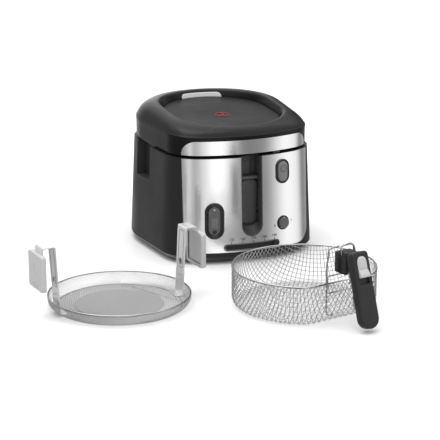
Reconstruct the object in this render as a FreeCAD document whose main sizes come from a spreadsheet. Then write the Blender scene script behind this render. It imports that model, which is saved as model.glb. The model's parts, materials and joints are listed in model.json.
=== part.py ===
"""Deep fryer with its frying basket and its oil filter, as separate named pieces.

Everything stands on one surface at height 0. The fryer, the basket and the filter each have
a frame of their own, and a piece's Placement puts that frame in the shared one:
  fryer   origin on the axis of its bowl, front towards -Y
  basket  origin in the middle of its floor, flat side towards -Y
  handle  origin on its pivot, hanging along -Z, outer face towards -Y
  filter  origin in the middle of its floor, hangers along X
"""
import FreeCAD, Part
import Sketcher
import math
import os
import re

from FreeCAD import Placement, Rotation, Vector

DIMENSIONS = (
    # Where the three things stand, and how they are turned.
    ("fryer_x", 137.0), ("fryer_y", 189.4),
    ("basket_x", 128.0), ("basket_y", -199.2), ("basket_turn", 12.5),
    ("filter_x", -142.4), ("filter_y", -98.4), ("filter_turn", 6.0),
    # Plan of the casing: a front arc, two corner arcs, two flat sides and a round back.
    ("case_front_y", -153.0), ("case_front_radius", 260.0),
    ("case_corner_x", 64.0), ("case_corner_radius", 66.0),
    ("case_rear_y", 27.0), ("case_rear_radius", 138.0),
    # Plan of the sunk disc in the lid, drawn the same way.
    ("disc_front_y", -119.5), ("disc_front_radius", 140.0),
    ("disc_corner_x", 20.0), ("disc_corner_radius", 72.0),
    ("disc_rear_y", 10.0), ("disc_rear_radius", 92.5),
    # Heights of the fryer, from the surface up. The lid's crest and its disc slope down towards
    # the front, so theirs are the heights over the bowl's axis.
    ("foot_height", 4.5), ("casing_bottom", 13.0), ("panel_bottom", 20.5),
    ("seam_low", 182.0), ("seam_high", 184.4), ("shoulder", 212.0), ("crest", 240.1),
    ("disc_top", 230.4), ("crest_tilt", 3.55), ("disc_tilt", 2.67),
    # Walls and clearances. The margin is how far a tool runs past what it cuts.
    ("margin", 20.0), ("front_reach", 60.0),
    ("flare", 8.0), ("wall", 3.0), ("skin", 0.9), ("fit_gap", 0.3), ("lid_inset", 4.0),
    ("ring_width", 9.0), ("cover_thickness", 3.0), ("tab_half", 36.0), ("tab_rise", 6.5), ("tab_y", 85.5),
    # Steel sheets on the casing's front and on the lid's, and the feet and screws underneath.
    ("panel_half", 113.0), ("panel_corner", 24.0), ("band_corner", 13.0),
    ("foot_radius", 10.0), ("screw_radius", 1.95), ("screw_length", 14.0),
    ("screw_head_radius", 3.6), ("screw_head_height", 1.8), ("screw_gap", 0.05),
    # Inlet of the cord in the back.
    ("inlet_x", 60.0), ("inlet_y", 146.0), ("inlet_z", 40.0), ("inlet_radius", 9.0),
    ("gland_length", 26.0), ("cord_radius", 3.6), ("hole_gap", 0.1),
    # Channel in the front that takes the basket's folded handle.
    ("channel_half", 18.5), ("channel_bottom", 46.0), ("channel_depth", 28.0),
    ("channel_shelf", 146.0), ("shelf_thickness", 5.0), ("strip_thickness", 13.0),
    ("channel_wall", 2.0),
    # Pockets in the sides that take the filter's grips.
    ("pocket_y", 3.0), ("pocket_half", 28.0), ("pocket_bottom", 123.0), ("pocket_depth", 15.0),
    ("pocket_height", 80.0), ("pocket_wall", 2.0),
    # Controls on the front arc: angle from the middle, half sizes and middle height.
    ("timer_angle", 14.3), ("release_angle", 12.8),
    ("timer_half_width", 16.0), ("timer_half_height", 31.0), ("timer_z", 76.0),
    ("face_half_width", 9.6), ("face_half_height", 24.0),
    ("display_z", 69.5), ("display_half_width", 4.3), ("display_half_height", 5.2),
    ("timer_key_z", 57.5), ("timer_key_radius", 3.3),
    ("release_half_width", 13.3), ("release_half_height", 21.0), ("release_z", 151.0),
    ("release_rim", 3.4), ("dimple_radius", 22.0), ("rim_proud", 2.4), ("rim_depth", 6.0),
    ("dial_z", 61.5), ("dial_radius", 9.2), ("dial_rim_radius", 12.3), ("dial_height", 6.0),
    ("shaft_radius", 3.0), ("switch_half", 13.0), ("rheostat_half", 48.0), ("rheostat_height", 20.0),
    ("board_half_width", 15.0), ("board_height", 60.0), ("board_thickness", 2.0),
    ("slot_z", 28.8), ("slot_half_length", 51.0), ("slot_half_height", 6.2),
    ("slot_rim", 2.2), ("slider_angle", 9.2), ("slider_stem", 2.0), ("slider_cap", 6.4),
    # Bowl, heater and their neighbours.
    ("bowl_radius", 116.0), ("bowl_floor", 62.0), ("bowl_wall", 1.5), ("bowl_flange", 4.0),
    ("deck_thickness", 4.0),
    ("shield_radius", 122.0), ("shield_floor", 38.0), ("shield_wall", 0.8), ("shield_drop", 6.0),
    ("element_radius", 78.0), ("element_wire", 4.5), ("spreader_radius", 64.0),
    ("spreader_height", 4.0), ("sensor_radius", 9.0),
    # Catch of the lid: a hook on the lid and a bolt beside it in the casing.
    ("hook_x", 46.0), ("hook_y", -137.0), ("hook_width", 12.0), ("hook_depth", 6.0),
    ("hook_height", 14.0), ("bolt_depth", 8.0), ("bolt_height", 6.0),
    # Filter cartridge, liner and seal in the lid.
    ("cartridge_half", 58.0), ("cartridge_height", 12.0), ("cartridge_y", -10.0), ("room_half", 60.0),
    ("liner_height", 2.0), ("vent_radius", 4.0), ("vent_circle", 30.0), ("seal_height", 3.6),
    # Hinge behind the lid.
    ("hinge_y", 171.0), ("hinge_z", 187.0), ("hinge_pin_radius", 3.0), ("running_gap", 0.05),
    ("knuckle_radius", 6.5), ("knuckle_inner", 18.0), ("knuckle_width", 14.0),
    # Frying basket.
    ("basket_radius", 112.5), ("basket_chord", 94.5), ("basket_height", 62.0),
    ("basket_corner", 14.0), ("mesh_thickness", 1.6), ("rim_wire", 1.7), ("frame_wire", 1.5),
    ("frame_half", 25.0), ("frame_top", 112.0), ("yoke_out", 21.5), ("yoke_in", 9.0),
    ("yoke_half", 13.0), ("yoke_low", 76.0), ("yoke_high", 113.0),
    # Basket handle.
    ("pivot_out", 37.0), ("pivot_z", 105.0), ("handle_tilt", 17.5), ("handle_half", 16.0),
    ("handle_half_thickness", 8.0), ("handle_head", 12.0), ("handle_reach", 104.4),
    ("tongue_half", 7.0), ("tongue_radius", 4.6), ("pivot_radius", 2.0), ("shell_split", -2.0),
    ("catch_half", 8.5), ("catch_top", 4.0), ("catch_low", -31.0), ("catch_travel", 6.0),
    # Oil filter: a shallow sieve on two hooked straps with plastic grips.
    ("sieve_radius", 111.5), ("sieve_height", 19.0), ("sieve_wire", 1.4),
    ("sieve_thickness", 1.2), ("strap_half", 15.0), ("strap_thickness", 1.2),
    ("strap_reach", 108.4), ("strap_top", 112.0), ("hook_out", 22.0),
    ("grip_half", 27.0), ("grip_height", 57.0), ("grip_thickness", 8.5), ("grip_low", 46.0),
)

PLAN_WORDS = ("front_y", "front_radius", "corner_x", "corner_radius", "rear_y", "rear_radius")
X_AXIS = Vector(1, 0, 0)
Y_AXIS = Vector(0, 1, 0)
Z_AXIS = Vector(0, 0, 1)
BEYOND = 400  # longer than any piece: the length of a tool that cuts right through

doc = FreeCAD.newDocument("DeepFryer")
sheet = doc.addObject("Spreadsheet::Sheet", "Dimensions")
for row, (alias, value) in enumerate(DIMENSIONS, 1):
    sheet.set(f"A{row}", alias)
    sheet.set(f"B{row}", str(value))
    sheet.setAlias(f"B{row}", alias)
doc.recompute()
ALIASES = {alias for alias, _ in DIMENSIONS}
sub_parts = []


# ---------------------------------------------------------------- helpers

def size(alias):
    """The number in one cell of the sheet."""
    return float(getattr(sheet, alias))


def formula(text):
    """An expression over the sheet: every alias in text gets the sheet's name."""
    return re.sub(r"[a-z_]+", lambda word: f"Dimensions.{word[0]}" if word[0] in ALIASES else word[0],
                  str(text))


def bind(item, **properties):
    """Bind properties to the sheet. A double underscore stands for a dot."""
    for name, text in properties.items():
        item.setExpression(name.replace("__", "."), formula(text))
    return item


def put(item, x=0, y=0, z=0):
    """Bind an object's position to the sheet."""
    return bind(item, Placement__Base__x=x, Placement__Base__y=y, Placement__Base__z=z)


def box(name, x, y, z, low=("0", "0", "0")):
    """A box of three sizes, from its lowest corner."""
    item = bind(doc.addObject("Part::Box", name), Length=x, Width=y, Height=z)
    return put(item, *low)


def rod(name, radius, length, start=("0", "0", "0"), along=Z_AXIS):
    """A cylinder from a start point along an axis."""
    item = bind(doc.addObject("Part::Cylinder", name), Radius=radius, Height=length)
    item.Placement.Rotation = Rotation(Z_AXIS, along)
    return put(item, *start)


def cone(name, low_radius, high_radius, height, start=("0", "0", "0")):
    """An upright cone frustum."""
    item = bind(doc.addObject("Part::Cone", name), Radius1=low_radius, Radius2=high_radius,
                Height=height)
    return put(item, *start)


def ring(name, radius, wire, start=("0", "0", "0")):
    """A level ring of round wire."""
    item = bind(doc.addObject("Part::Torus", name), Radius1=radius, Radius2=wire)
    return put(item, *start)


def ball(name, radius, start):
    """A ball, used where two wires meet."""
    return put(bind(doc.addObject("Part::Sphere", name), Radius=radius), *start)


def fuse(name, *shapes):
    item = doc.addObject("Part::MultiFuse", name)
    item.Shapes = list(shapes)
    return item


def group(name, *shapes):
    """Separate solids in one node."""
    item = doc.addObject("Part::Compound", name)
    item.Links = list(shapes)
    return item


def cut(name, base, *tools):
    item = doc.addObject("Part::Cut", name)
    item.Base = base
    item.Tool = tools[0] if len(tools) == 1 else fuse(f"{name}_tools", *tools)
    return item


def common(name, *shapes):
    item = doc.addObject("Part::MultiCommon", name)
    item.Shapes = list(shapes)
    return item


def finish(item, label, frame):
    """Name a sub-part and put it in the shared frame.

    A primitive's own position is bound to the sheet, so it is carried by a group of one.
    """
    if any(path.startswith(".Placement") or path.startswith("Placement")
           for path, _ in item.ExpressionEngine):
        item = group(f"{item.Name}_node", item)
    item.Label = label
    item.Placement = frame
    sub_parts.append(item)
    return item


def tangent_point(centre, radius, angle):
    return Vector(centre[0] + radius * math.cos(angle), centre[1] + radius * math.sin(angle), 0)


def plan_sketch(name, height, inset, blend=0.0, tilt="0"):
    """The rounded plan as a sketch at a height, moved in by inset and sloped by tilt degrees.

    blend goes from the casing's plan at 0 to the lid disc's plan at 1. All arcs are tangent,
    so an inset only shortens the radii.
    """
    word_text = {w: f"(case_{w} * {1 - blend:.4f} + disc_{w} * {blend:.4f})" for w in PLAN_WORDS}
    start = {w: size(f"case_{w}") * (1 - blend) + size(f"disc_{w}") * blend for w in PLAN_WORDS}
    front_centre = start["front_y"] + start["front_radius"]
    between = start["front_radius"] - start["corner_radius"]
    corner_y = front_centre - math.sqrt(between ** 2 - start["corner_x"] ** 2)
    front_lean = math.asin(start["corner_x"] / between)
    away = Vector(start["corner_x"], corner_y - start["rear_y"], 0)
    radius_step = start["rear_radius"] - start["corner_radius"]
    side_angle = math.acos(radius_step / away.Length) + math.atan2(away.y, away.x)

    sketch = doc.addObject("Sketcher::SketchObject", name)
    right_corner = (start["corner_x"], corner_y)
    left_corner = (-start["corner_x"], corner_y)
    down = -math.pi / 2
    arcs = (
        ((0, front_centre), start["front_radius"], down - front_lean, down + front_lean),
        (right_corner, start["corner_radius"], down + front_lean, side_angle),
        ((0, start["rear_y"]), start["rear_radius"], side_angle, math.pi - side_angle),
        (left_corner, start["corner_radius"], math.pi - side_angle, 2 * math.pi + down - front_lean),
    )
    for centre, radius, first, last in arcs:
        circle = Part.Circle(Vector(*centre, 0), Z_AXIS, radius)
        sketch.addGeometry(Part.ArcOfCircle(circle, first, last))
    right_low = tangent_point(right_corner, start["corner_radius"], side_angle)
    right_high = tangent_point((0, start["rear_y"]), start["rear_radius"], side_angle)
    mirrored = [Vector(-p.x, p.y, 0) for p in (right_high, right_low)]
    sketch.addGeometry(Part.LineSegment(right_low, right_high))
    sketch.addGeometry(Part.LineSegment(*mirrored))
    front, right, rear, left, right_side, left_side = range(6)
    begin, end, middle = 1, 2, 3
    joins = ((front, end, right, begin), (right, end, right_side, begin),
             (right_side, end, rear, begin), (rear, end, left_side, begin),
             (left_side, end, left, begin), (left, end, front, begin))
    for join in joins:
        sketch.addConstraint(Sketcher.Constraint("Tangent", *join))
    origin = -1
    corner_text = word_text["corner_radius"]
    sketch.addConstraint(Sketcher.Constraint("PointOnObject", front, middle, -2))
    sketch.addConstraint(Sketcher.Constraint("PointOnObject", rear, middle, -2))
    sizes = (
        ("front_arc", ("Radius", front), start["front_radius"], f"{word_text['front_radius']} - ({inset})"),
        ("right_arc", ("Radius", right), start["corner_radius"], f"{corner_text} - ({inset})"),
        ("left_arc", ("Radius", left), start["corner_radius"], f"{corner_text} - ({inset})"),
        ("rear_arc", ("Radius", rear), start["rear_radius"], f"{word_text['rear_radius']} - ({inset})"),
        ("front_centre", ("DistanceY", origin, 1, front, middle), front_centre,
         word_text["front_y"] + " + " + word_text["front_radius"]),
        ("rear_centre", ("DistanceY", origin, 1, rear, middle), start["rear_y"], word_text["rear_y"]),
        ("right_centre", ("DistanceX", origin, 1, right, middle), start["corner_x"],
         word_text["corner_x"]),
        ("left_centre", ("DistanceX", left, middle, origin, 1), start["corner_x"],
         word_text["corner_x"]),
    )
    for label, parts, value, text in sizes:
        index = sketch.addConstraint(Sketcher.Constraint(*parts, value))
        sketch.renameConstraint(index, label)
        sketch.setExpression(f"Constraints.{label}", formula(text))
    sketch.Placement.Rotation = Rotation(X_AXIS, 1)
    return bind(sketch, Placement__Base__z=height, Placement__Rotation__Angle=f"({tilt}) * 1 deg")


def loft(name, sections, ruled=True):
    item = doc.addObject("Part::Loft", name)
    item.Sections = sections
    item.Solid = True
    item.Ruled = ruled
    return item


def flared(name, low, high, inset):
    """A solid with the casing's plan, wider by the flare towards the surface."""
    sections = []
    for end, height in (("low", low), ("high", high)):
        spread = f"({inset}) - flare * (1 - ({height}) / seam_low)"
        sections.append(plan_sketch(f"{name}_{end}", height, spread))
    return loft(name, sections)


def upright(name, low, high, inset, blend=0.0, tilt="0"):
    """A solid with straight walls."""
    return loft(name, [plan_sketch(f"{name}_low", low, inset, blend, tilt),
                       plan_sketch(f"{name}_high", high, inset, blend, tilt)])


def domed(name, low, inset, blends, rise):
    """The lid's solid: a straight wall, then a shoulder that rounds over to the ring's crest."""
    sections = [plan_sketch(f"{name}_foot", low, inset)]
    for step, blend in enumerate(blends):
        lift = math.sqrt(1 - (1 - blend) ** 2)
        height = f"shoulder + (crest - shoulder) * {lift:.4f} - ({rise})"
        outward = f"({inset}) * {1 - blend:.4f} - ring_width * {blend:.4f} + ({rise}) * {blend:.4f}"
        sections.append(plan_sketch(f"{name}_{step}", height, outward, blend,
                                    f"crest_tilt * {lift:.4f}"))
    return loft(name, sections)


def slot_tool(name, radius, straight, level, direction):
    """A prism with round ends through the front, in the front frame: along X or along Z."""
    reach = "0 - case_front_radius - margin"
    side_x, side_z = (straight, "0") if direction == X_AXIS else ("0", straight)
    ends = [rod(f"{name}_{word}", radius, "front_reach",
                (f"{sign} * ({side_x})", reach, f"({level}) + {sign} * ({side_z})"), Y_AXIS)
            for word, sign in (("first", -1), ("second", 1))]
    half_x, half_z = (straight, radius) if direction == X_AXIS else (radius, straight)
    core = box(f"{name}_core", f"2 * ({half_x})", "front_reach", f"2 * ({half_z})",
               (f"0 - ({half_x})", reach, f"({level}) - ({half_z})"))
    return fuse(name, core, *ends)


def tall_tool(name, half_width, half_height, level):
    return slot_tool(name, half_width, f"({half_height}) - ({half_width})", level, Z_AXIS)


def round_tool(name, radius, level):
    """A round prism through the front, in the front frame."""
    return rod(name, radius, "front_reach", ("0", "0 - case_front_radius - margin", level), Y_AXIS)


def front_skin(name, tool, outer, inner):
    """The part of a tool between two depths under the front arc, in the front frame."""
    solids = []
    for word, depth in (("outer", outer), ("inner", inner)):
        solids.append(cone(f"{name}_{word}", f"case_front_radius + flare - ({depth})",
                           f"case_front_radius - ({depth})", "seam_low"))
    return cut(name, common(f"{name}_block", tool, solids[0]), solids[1])


def front_frame(angle):
    """The frame on the axis of the front arc, turned by an angle, in the fryer's frame."""
    centre = Vector(0, size("case_front_y") + size("case_front_radius"), 0)
    return Placement(centre, Rotation(Z_AXIS, angle))


def turned(name, tool, angle):
    """A front tool carried into the fryer's frame."""
    item = group(name, tool)
    item.Placement = front_frame(angle)
    return item


FRYER = Placement(Vector(size("fryer_x"), size("fryer_y"), 0), Rotation())
BASKET = Placement(Vector(size("basket_x"), size("basket_y"), 0),
                   Rotation(Z_AXIS, size("basket_turn")))
PIVOT = Placement(Vector(0, -size("basket_chord") - size("pivot_out"), size("pivot_z")),
                  Rotation(X_AXIS, -size("handle_tilt")))
HANDLE = BASKET.multiply(PIVOT)
FILTER = Placement(Vector(size("filter_x"), size("filter_y"), 0),
                   Rotation(Z_AXIS, size("filter_turn")))
LEFT, RIGHT = -size("timer_angle"), size("release_angle")
TIMER = FRYER.multiply(front_frame(LEFT))
RELEASE = FRYER.multiply(front_frame(RIGHT))
MIDDLE = FRYER.multiply(front_frame(0))
SLIDER = FRYER.multiply(front_frame(size("slider_angle")))


# ---------------------------------------------------------------- casing and its openings

def channel_tool(name, wall):
    """The channel's prism with a round lower end, grown by a wall on every side."""
    half, deep = f"(channel_half + {wall})", f"channel_depth + margin + {wall}"
    level = "channel_bottom + channel_half"
    straight = box(f"{name}_straight", f"2 * {half}", deep, f"seam_low + margin / 2 - ({level})",
                   (f"0 - {half}", "case_front_y - margin", level))
    end = rod(f"{name}_end", half, deep, ("0", "case_front_y - margin", level), Y_AXIS)
    return fuse(name, straight, end)


channel_space = channel_tool("channel_space", "0")
channel_block = channel_tool("channel_block", "channel_wall")

pocket_space, pocket_block = {}, {}
for side, sign in (("left", -1), ("right", 1)):
    for kind, tools, wall in (("space", pocket_space, "0"), ("block", pocket_block, "pocket_wall")):
        deep = f"(pocket_depth + margin + {wall})"
        middle_x = f"{sign} * (case_rear_radius + margin - {deep} / 2)"
        tools[side] = box(f"{side}_pocket_{kind}", deep, f"2 * (pocket_half + {wall})",
                          f"pocket_height + {wall}",
                          (f"{middle_x} - {deep} / 2", f"pocket_y - pocket_half - {wall}",
                           f"pocket_bottom - {wall}"))

timer_hole = turned("timer_hole", tall_tool("timer_tool", "timer_half_width", "timer_half_height",
                                            "timer_z"), LEFT)
release_hole = turned("release_hole", tall_tool("release_tool", "release_half_width",
                                                "release_half_height", "release_z"), RIGHT)
dial_hole = turned("dial_hole", round_tool("dial_tool", "dial_rim_radius", "dial_z"), RIGHT)
slot_hole = turned("slot_hole", slot_tool("slot_outline", "slot_half_height",
                                          "slot_half_length - slot_half_height", "slot_z", X_AXIS), 0)
front_holes = (timer_hole, release_hole, dial_hole, slot_hole)

casing_solid = flared("casing_solid", "casing_bottom", "seam_low", "0")
casing_space = flared("casing_space", "casing_bottom - 1", "seam_low + 1", "wall")
inlet_hole = rod("inlet_hole", "inlet_radius", "2 * gland_length",
                 ("inlet_x", "inlet_y - gland_length", "inlet_z"), Y_AXIS)
casing = cut("casing", casing_solid, casing_space, channel_block, *pocket_block.values(),
             *front_holes, inlet_hole)
finish(casing, "outer_casing", FRYER)

def sheet_outline(name, corner, low, height, round_low):
    """A steel sheet's outline as a prism towards the front, with its lower or upper corners round."""
    depth, front = f"{BEYOND} / 2", "case_front_y - margin - 10"
    rest = f"({height} - {corner})"
    wide_low = f"{low} + {corner}" if round_low else low
    narrow_low = low if round_low else f"{low} + {rest}"
    wide = box(f"{name}_wide", "2 * panel_half", depth, rest, ("0 - panel_half", front, wide_low))
    narrow = box(f"{name}_narrow", f"2 * (panel_half - {corner})", depth, corner,
                 (f"{corner} - panel_half", front, narrow_low))
    corners = [rod(f"{name}_corner_{word}", corner, depth,
                   (f"{sign} * (panel_half - {corner})", front,
                    wide_low if round_low else narrow_low), Y_AXIS)
               for word, sign in (("left", -1), ("right", 1))]
    return fuse(name, wide, narrow, *corners)


panel_outline = sheet_outline("panel_outline", "panel_corner", "panel_bottom",
                              "(seam_low - panel_bottom + 1)", True)
panel_outer = flared("panel_outer", "panel_bottom - 2", "seam_low", "0 - skin")
panel_inner = flared("panel_inner", "panel_bottom - 3", "seam_low + 1", "0")
panel_front_half = box("panel_front_half", f"{BEYOND}", "0 - case_front_y", f"{BEYOND}",
                       (f"0 - {BEYOND} / 2", "case_front_y - margin", "0"))
panel = cut("panel", common("panel_sheet", panel_outline, panel_outer, panel_front_half), panel_inner,
            channel_block, *front_holes)
finish(panel, "front_panel", FRYER)

channel_front = flared("channel_front", "panel_bottom", "seam_low", "0 - skin")
channel_shell = common("channel_shell", cut("channel_tub", channel_block, channel_space),
                       channel_front)
strip = box("channel_strip", "2 * channel_half - 8", "strip_thickness",
            "channel_shelf - channel_bottom - 26",
            ("4 - channel_half", "case_front_y + channel_depth - strip_thickness",
             "channel_bottom + 22"))
shelf = box("channel_ledge", "2 * channel_half", "strip_thickness + 4", "shelf_thickness",
            ("0 - channel_half", "case_front_y + channel_depth - strip_thickness - 4",
             "channel_shelf - shelf_thickness"))
finish(fuse("channel", channel_shell, strip, shelf), "handle_channel", FRYER)

for side in ("left", "right"):
    pocket_tub = cut(f"{side}_pocket_tub", pocket_block[side], pocket_space[side])
    finish(common(f"{side}_pocket", pocket_tub,
                  flared(f"{side}_pocket_limit", "panel_bottom", "seam_low", "0")),
           f"{side}_grip_pocket", FRYER)

base_dish = loft("base_dish", [plan_sketch("base_dish_low", "foot_height", "10 - flare"),
                               plan_sketch("base_dish_high", "casing_bottom", "1 - flare")])
base_space = upright("base_space", "foot_height + wall", "casing_bottom + 1", "14 - flare")
SCREW_PLACES = ((-70, -80), (70, -80), (-85, 70), (85, 70))
FOOT_PLACES = ((-85, -95), (85, -95), (-95, 60), (95, 60))
screw_holes = [rod(f"screw_hole_{i}", "screw_radius + screw_gap", "margin", (f"{x}", f"{y}", "0"))
               for i, (x, y) in enumerate(SCREW_PLACES)]
finish(cut("base", base_dish, base_space, *screw_holes), "base_cover", FRYER)
feet = [rod(f"foot_{i}", "foot_radius", "foot_height", (f"{x}", f"{y}", "0"))
        for i, (x, y) in enumerate(FOOT_PLACES)]
finish(group("feet", *feet), "rubber_feet", FRYER)
screws = []
for i, (x, y) in enumerate(SCREW_PLACES):
    shank = rod(f"screw_shank_{i}", "screw_radius", "screw_length",
                (f"{x}", f"{y}", "foot_height - screw_head_height"))
    head = rod(f"screw_head_{i}", "screw_head_radius", "screw_head_height",
               (f"{x}", f"{y}", "foot_height - screw_head_height"))
    screws.append(fuse(f"screw_{i}", shank, head))
finish(group("screws", *screws), "base_screws", FRYER)

deck_solid = upright("deck_solid", "seam_low - deck_thickness", "seam_low", "wall + hole_gap")
deck_hole = rod("deck_hole", "bowl_radius + bowl_wall + 0.5", "margin",
                ("0", "0", "seam_low - margin / 2"))
hook_hole = box("hook_hole", "hook_width + 2", "hook_depth + 4", "margin",
                ("hook_x - 1", "hook_y - 2", "seam_low - margin / 2"))
finish(cut("deck", deck_solid, deck_hole, hook_hole, channel_block, *pocket_block.values(),
           release_hole),
       "top_deck", FRYER)


# ---------------------------------------------------------------- controls on the front

def control_piece(label, tool, outer, inner, frame, *holes):
    """A piece let into the front, with holes through it."""
    skin = front_skin(f"{label}_skin", tool, outer, inner)
    return finish(cut(label, skin, *holes) if holes else skin, label, frame)


control_piece("timer_bezel",
              tall_tool("timer_rim", "timer_half_width - hole_gap", "timer_half_height - hole_gap",
                        "timer_z"),
              "0 - rim_proud", "rim_depth", TIMER,
              tall_tool("timer_rim_hole", "face_half_width", "face_half_height", "timer_z"))
display_hole = box("display_hole", "2 * display_half_width", "front_reach", "2 * display_half_height",
                   ("0 - display_half_width", "0 - case_front_radius - margin",
                    "display_z - display_half_height"))
control_piece("timer_face",
              tall_tool("face_outline", "face_half_width - hole_gap", "face_half_height - hole_gap",
                        "timer_z"),
              "0 - 0.6", "5", TIMER, display_hole,
              round_tool("timer_key_hole", "timer_key_radius + fit_gap", "timer_key_z"))
display_outline = box("display_outline", "2 * (display_half_width - hole_gap)", "front_reach",
                      "2 * (display_half_height - hole_gap)",
                      ("hole_gap - display_half_width", "0 - case_front_radius - margin",
                       "display_z - display_half_height + hole_gap"))
control_piece("display_window", display_outline, "0 - 0.4", "4", TIMER)
control_piece("timer_button", round_tool("timer_key", "timer_key_radius", "timer_key_z"),
              "0 - 1.8", "7", TIMER)
control_piece("release_bezel",
              tall_tool("release_rim", "release_half_width - hole_gap", "release_half_height - hole_gap",
                        "release_z"),
              "0 - rim_proud", "rim_depth", RELEASE,
              tall_tool("release_rim_hole", "release_half_width - release_rim",
                        "release_half_height - release_rim", "release_z"))
control_piece("release_button",
              tall_tool("release_outline", "release_half_width - release_rim - fit_gap",
                        "release_half_height - release_rim - fit_gap", "release_z"),
              "0 - 2.2", "8", RELEASE,
              ball("release_dimple", "dimple_radius",
                   ("0", "0 - case_front_radius - dimple_radius - 0.6", "release_z + 4")))
control_piece("dial_bezel", round_tool("dial_rim", "dial_rim_radius - hole_gap", "dial_z"),
              "0 - 1.8", "rim_depth", RELEASE,
              round_tool("dial_rim_hole", "dial_radius + fit_gap", "dial_z"))
dial_disc = rod("dial_disc", "dial_radius", "dial_height + 5",
                ("0", "0 - case_front_radius - flare * (1 - dial_z / seam_low) - dial_height",
                 "dial_z"), Y_AXIS)
dial_shaft = rod("dial_shaft", "shaft_radius", "margin",
                 ("0", "0 - case_front_radius - flare * (1 - dial_z / seam_low)", "dial_z"), Y_AXIS)
finish(fuse("dial", dial_disc, dial_shaft), "selector_dial", RELEASE)
dial_switch_body = box("dial_switch_body", "2 * switch_half", "switch_half", "2 * switch_half",
                       ("0 - switch_half", "8 - case_front_radius", "dial_z - switch_half"))
shaft_hole = round_tool("dial_shaft_hole", "shaft_radius + running_gap", "dial_z")
finish(cut("dial_switch_cut", dial_switch_body, shaft_hole), "dial_switch", RELEASE)
slot_inner = slot_tool("slot_inner", "slot_half_height - slot_rim",
                       "slot_half_length - slot_half_height", "slot_z", X_AXIS)
control_piece("slider_bezel",
              slot_tool("slot_rim_outline", "slot_half_height - hole_gap",
                        "slot_half_length - slot_half_height - hole_gap", "slot_z", X_AXIS),
              "0 - rim_proud", "rim_depth", MIDDLE, slot_inner)
slider_stem = box("slider_outline", "2 * slider_stem", "front_reach",
                  "2 * (slot_half_height - slot_rim - fit_gap)",
                  ("0 - slider_stem", "0 - case_front_radius - margin",
                   "slot_z - slot_half_height + slot_rim + fit_gap"))
finish(fuse("slider_knob", front_skin("slider_stem_skin", slider_stem, "0 - 2.8", "8"),
            front_skin("slider_cap_skin", round_tool("slider_cap_outline", "slider_cap", "slot_z"),
                       "0 - 5.6", "0 - 2.7")),
       "temperature_slider", SLIDER)
slider_track = box("slider_track", "2 * rheostat_half", "6", "rheostat_height",
                   ("0 - rheostat_half", "case_front_y + 20", "slot_z - 6"))
finish(slider_track, "slider_rheostat", FRYER)
board_plate = box("board_plate", "2 * board_half_width", "board_thickness", "board_height",
                  ("0 - board_half_width", "22 - case_front_radius", "timer_z - board_height / 2"))
finish(board_plate, "timer_board", TIMER)


# ---------------------------------------------------------------- bowl, heater, inlet

bowl_outside = rod("bowl_outside", "bowl_radius + bowl_wall", "seam_low - bowl_floor",
                   ("0", "0", "bowl_floor"))
bowl_flange = rod("bowl_lip", "bowl_radius + bowl_wall + bowl_flange", "1.5",
                  ("0", "0", "seam_low"))
bowl_inside = rod("bowl_inside", "bowl_radius", f"{BEYOND}",
                  ("0", "0", "bowl_floor + bowl_wall"))
finish(cut("bowl", fuse("bowl_stock", bowl_outside, bowl_flange), bowl_inside), "oil_bowl", FRYER)

shield_outside = rod("shield_outside", "shield_radius", "seam_low - shield_drop - shield_floor",
                     ("0", "0", "shield_floor"))
shield_inside = rod("shield_inside", "shield_radius - shield_wall", f"{BEYOND}",
                    ("0", "0", "shield_floor + shield_wall"))
finish(cut("shield", shield_outside, shield_inside, channel_block, *pocket_block.values()),
       "heat_shield", FRYER)
FUSE_SIZE = ("30", "12", "10")
TERMINAL_SIZE = ("40", "18", "16")
element = ring("element", "element_radius", "element_wire", ("0", "0", "bowl_floor - element_wire"))
finish(element, "heating_element", FRYER)
finish(rod("spreader", "spreader_radius", "spreader_height", ("0", "0", "bowl_floor - spreader_height")),
       "heat_spreader", FRYER)
sensor_cup = rod("sensor_cup", "sensor_radius",
                 "bowl_floor - spreader_height - shield_floor - shield_wall",
                 ("0", "0", "shield_floor + shield_wall"))
finish(sensor_cup, "temperature_sensor", FRYER)
finish(box("fuse_block", *FUSE_SIZE, ("20", "0 - 6", "shield_floor + shield_wall")), "thermal_fuse", FRYER)
finish(box("terminal_stock", *TERMINAL_SIZE, ("30", "85", "foot_height + wall")),
       "terminal_block", FRYER)
gland_tube = rod("gland_tube", "inlet_radius - hole_gap", "gland_length",
                 ("inlet_x", "inlet_y", "inlet_z"), Y_AXIS)
gland_bore = rod("gland_bore", "cord_radius", "2 * gland_length",
                 ("inlet_x", "inlet_y - margin", "inlet_z"), Y_AXIS)
finish(cut("gland", gland_tube, gland_bore), "cord_gland", FRYER)


# ---------------------------------------------------------------- lid

LID_BLENDS = (0.0, 0.06, 0.24, 0.55, 1.0)
lid_outside = domed("lid_outside", "seam_high", "lid_inset", LID_BLENDS, "0")
lid_inside = domed("lid_inside", "seam_high - 1", "lid_inset + wall", LID_BLENDS, "wall")
disc_sink = upright("disc_sink", "disc_top - cover_thickness", "crest + margin", "0", 1.0, "disc_tilt")
disc_tub = upright("disc_tub", "disc_top - cover_thickness - wall", "crest", "0 - wall", 1.0,
                   "disc_tilt")
filter_room = box("filter_room", "2 * room_half", "2 * room_half", "2 * margin",
                  ("0 - room_half", "cartridge_y - room_half", "disc_top - 30"))
lid_hollow = cut("lid_hollow", lid_inside, disc_tub)
lid = cut("lid", lid_outside, lid_hollow, disc_sink, filter_room)
finish(lid, "lid_shell", FRYER)

band_outline = sheet_outline("band_outline", "band_corner", "(seam_high + 2)", "24", False)
band_outer = upright("band_outer", "seam_high", "shoulder + 2", "lid_inset - skin")
band_inner = upright("band_inner", "seam_high - 1", "shoulder + 3", "lid_inset")
finish(cut("band", common("band_sheet", band_outline, band_outer, panel_front_half), band_inner),
       "lid_band", FRYER)

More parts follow.
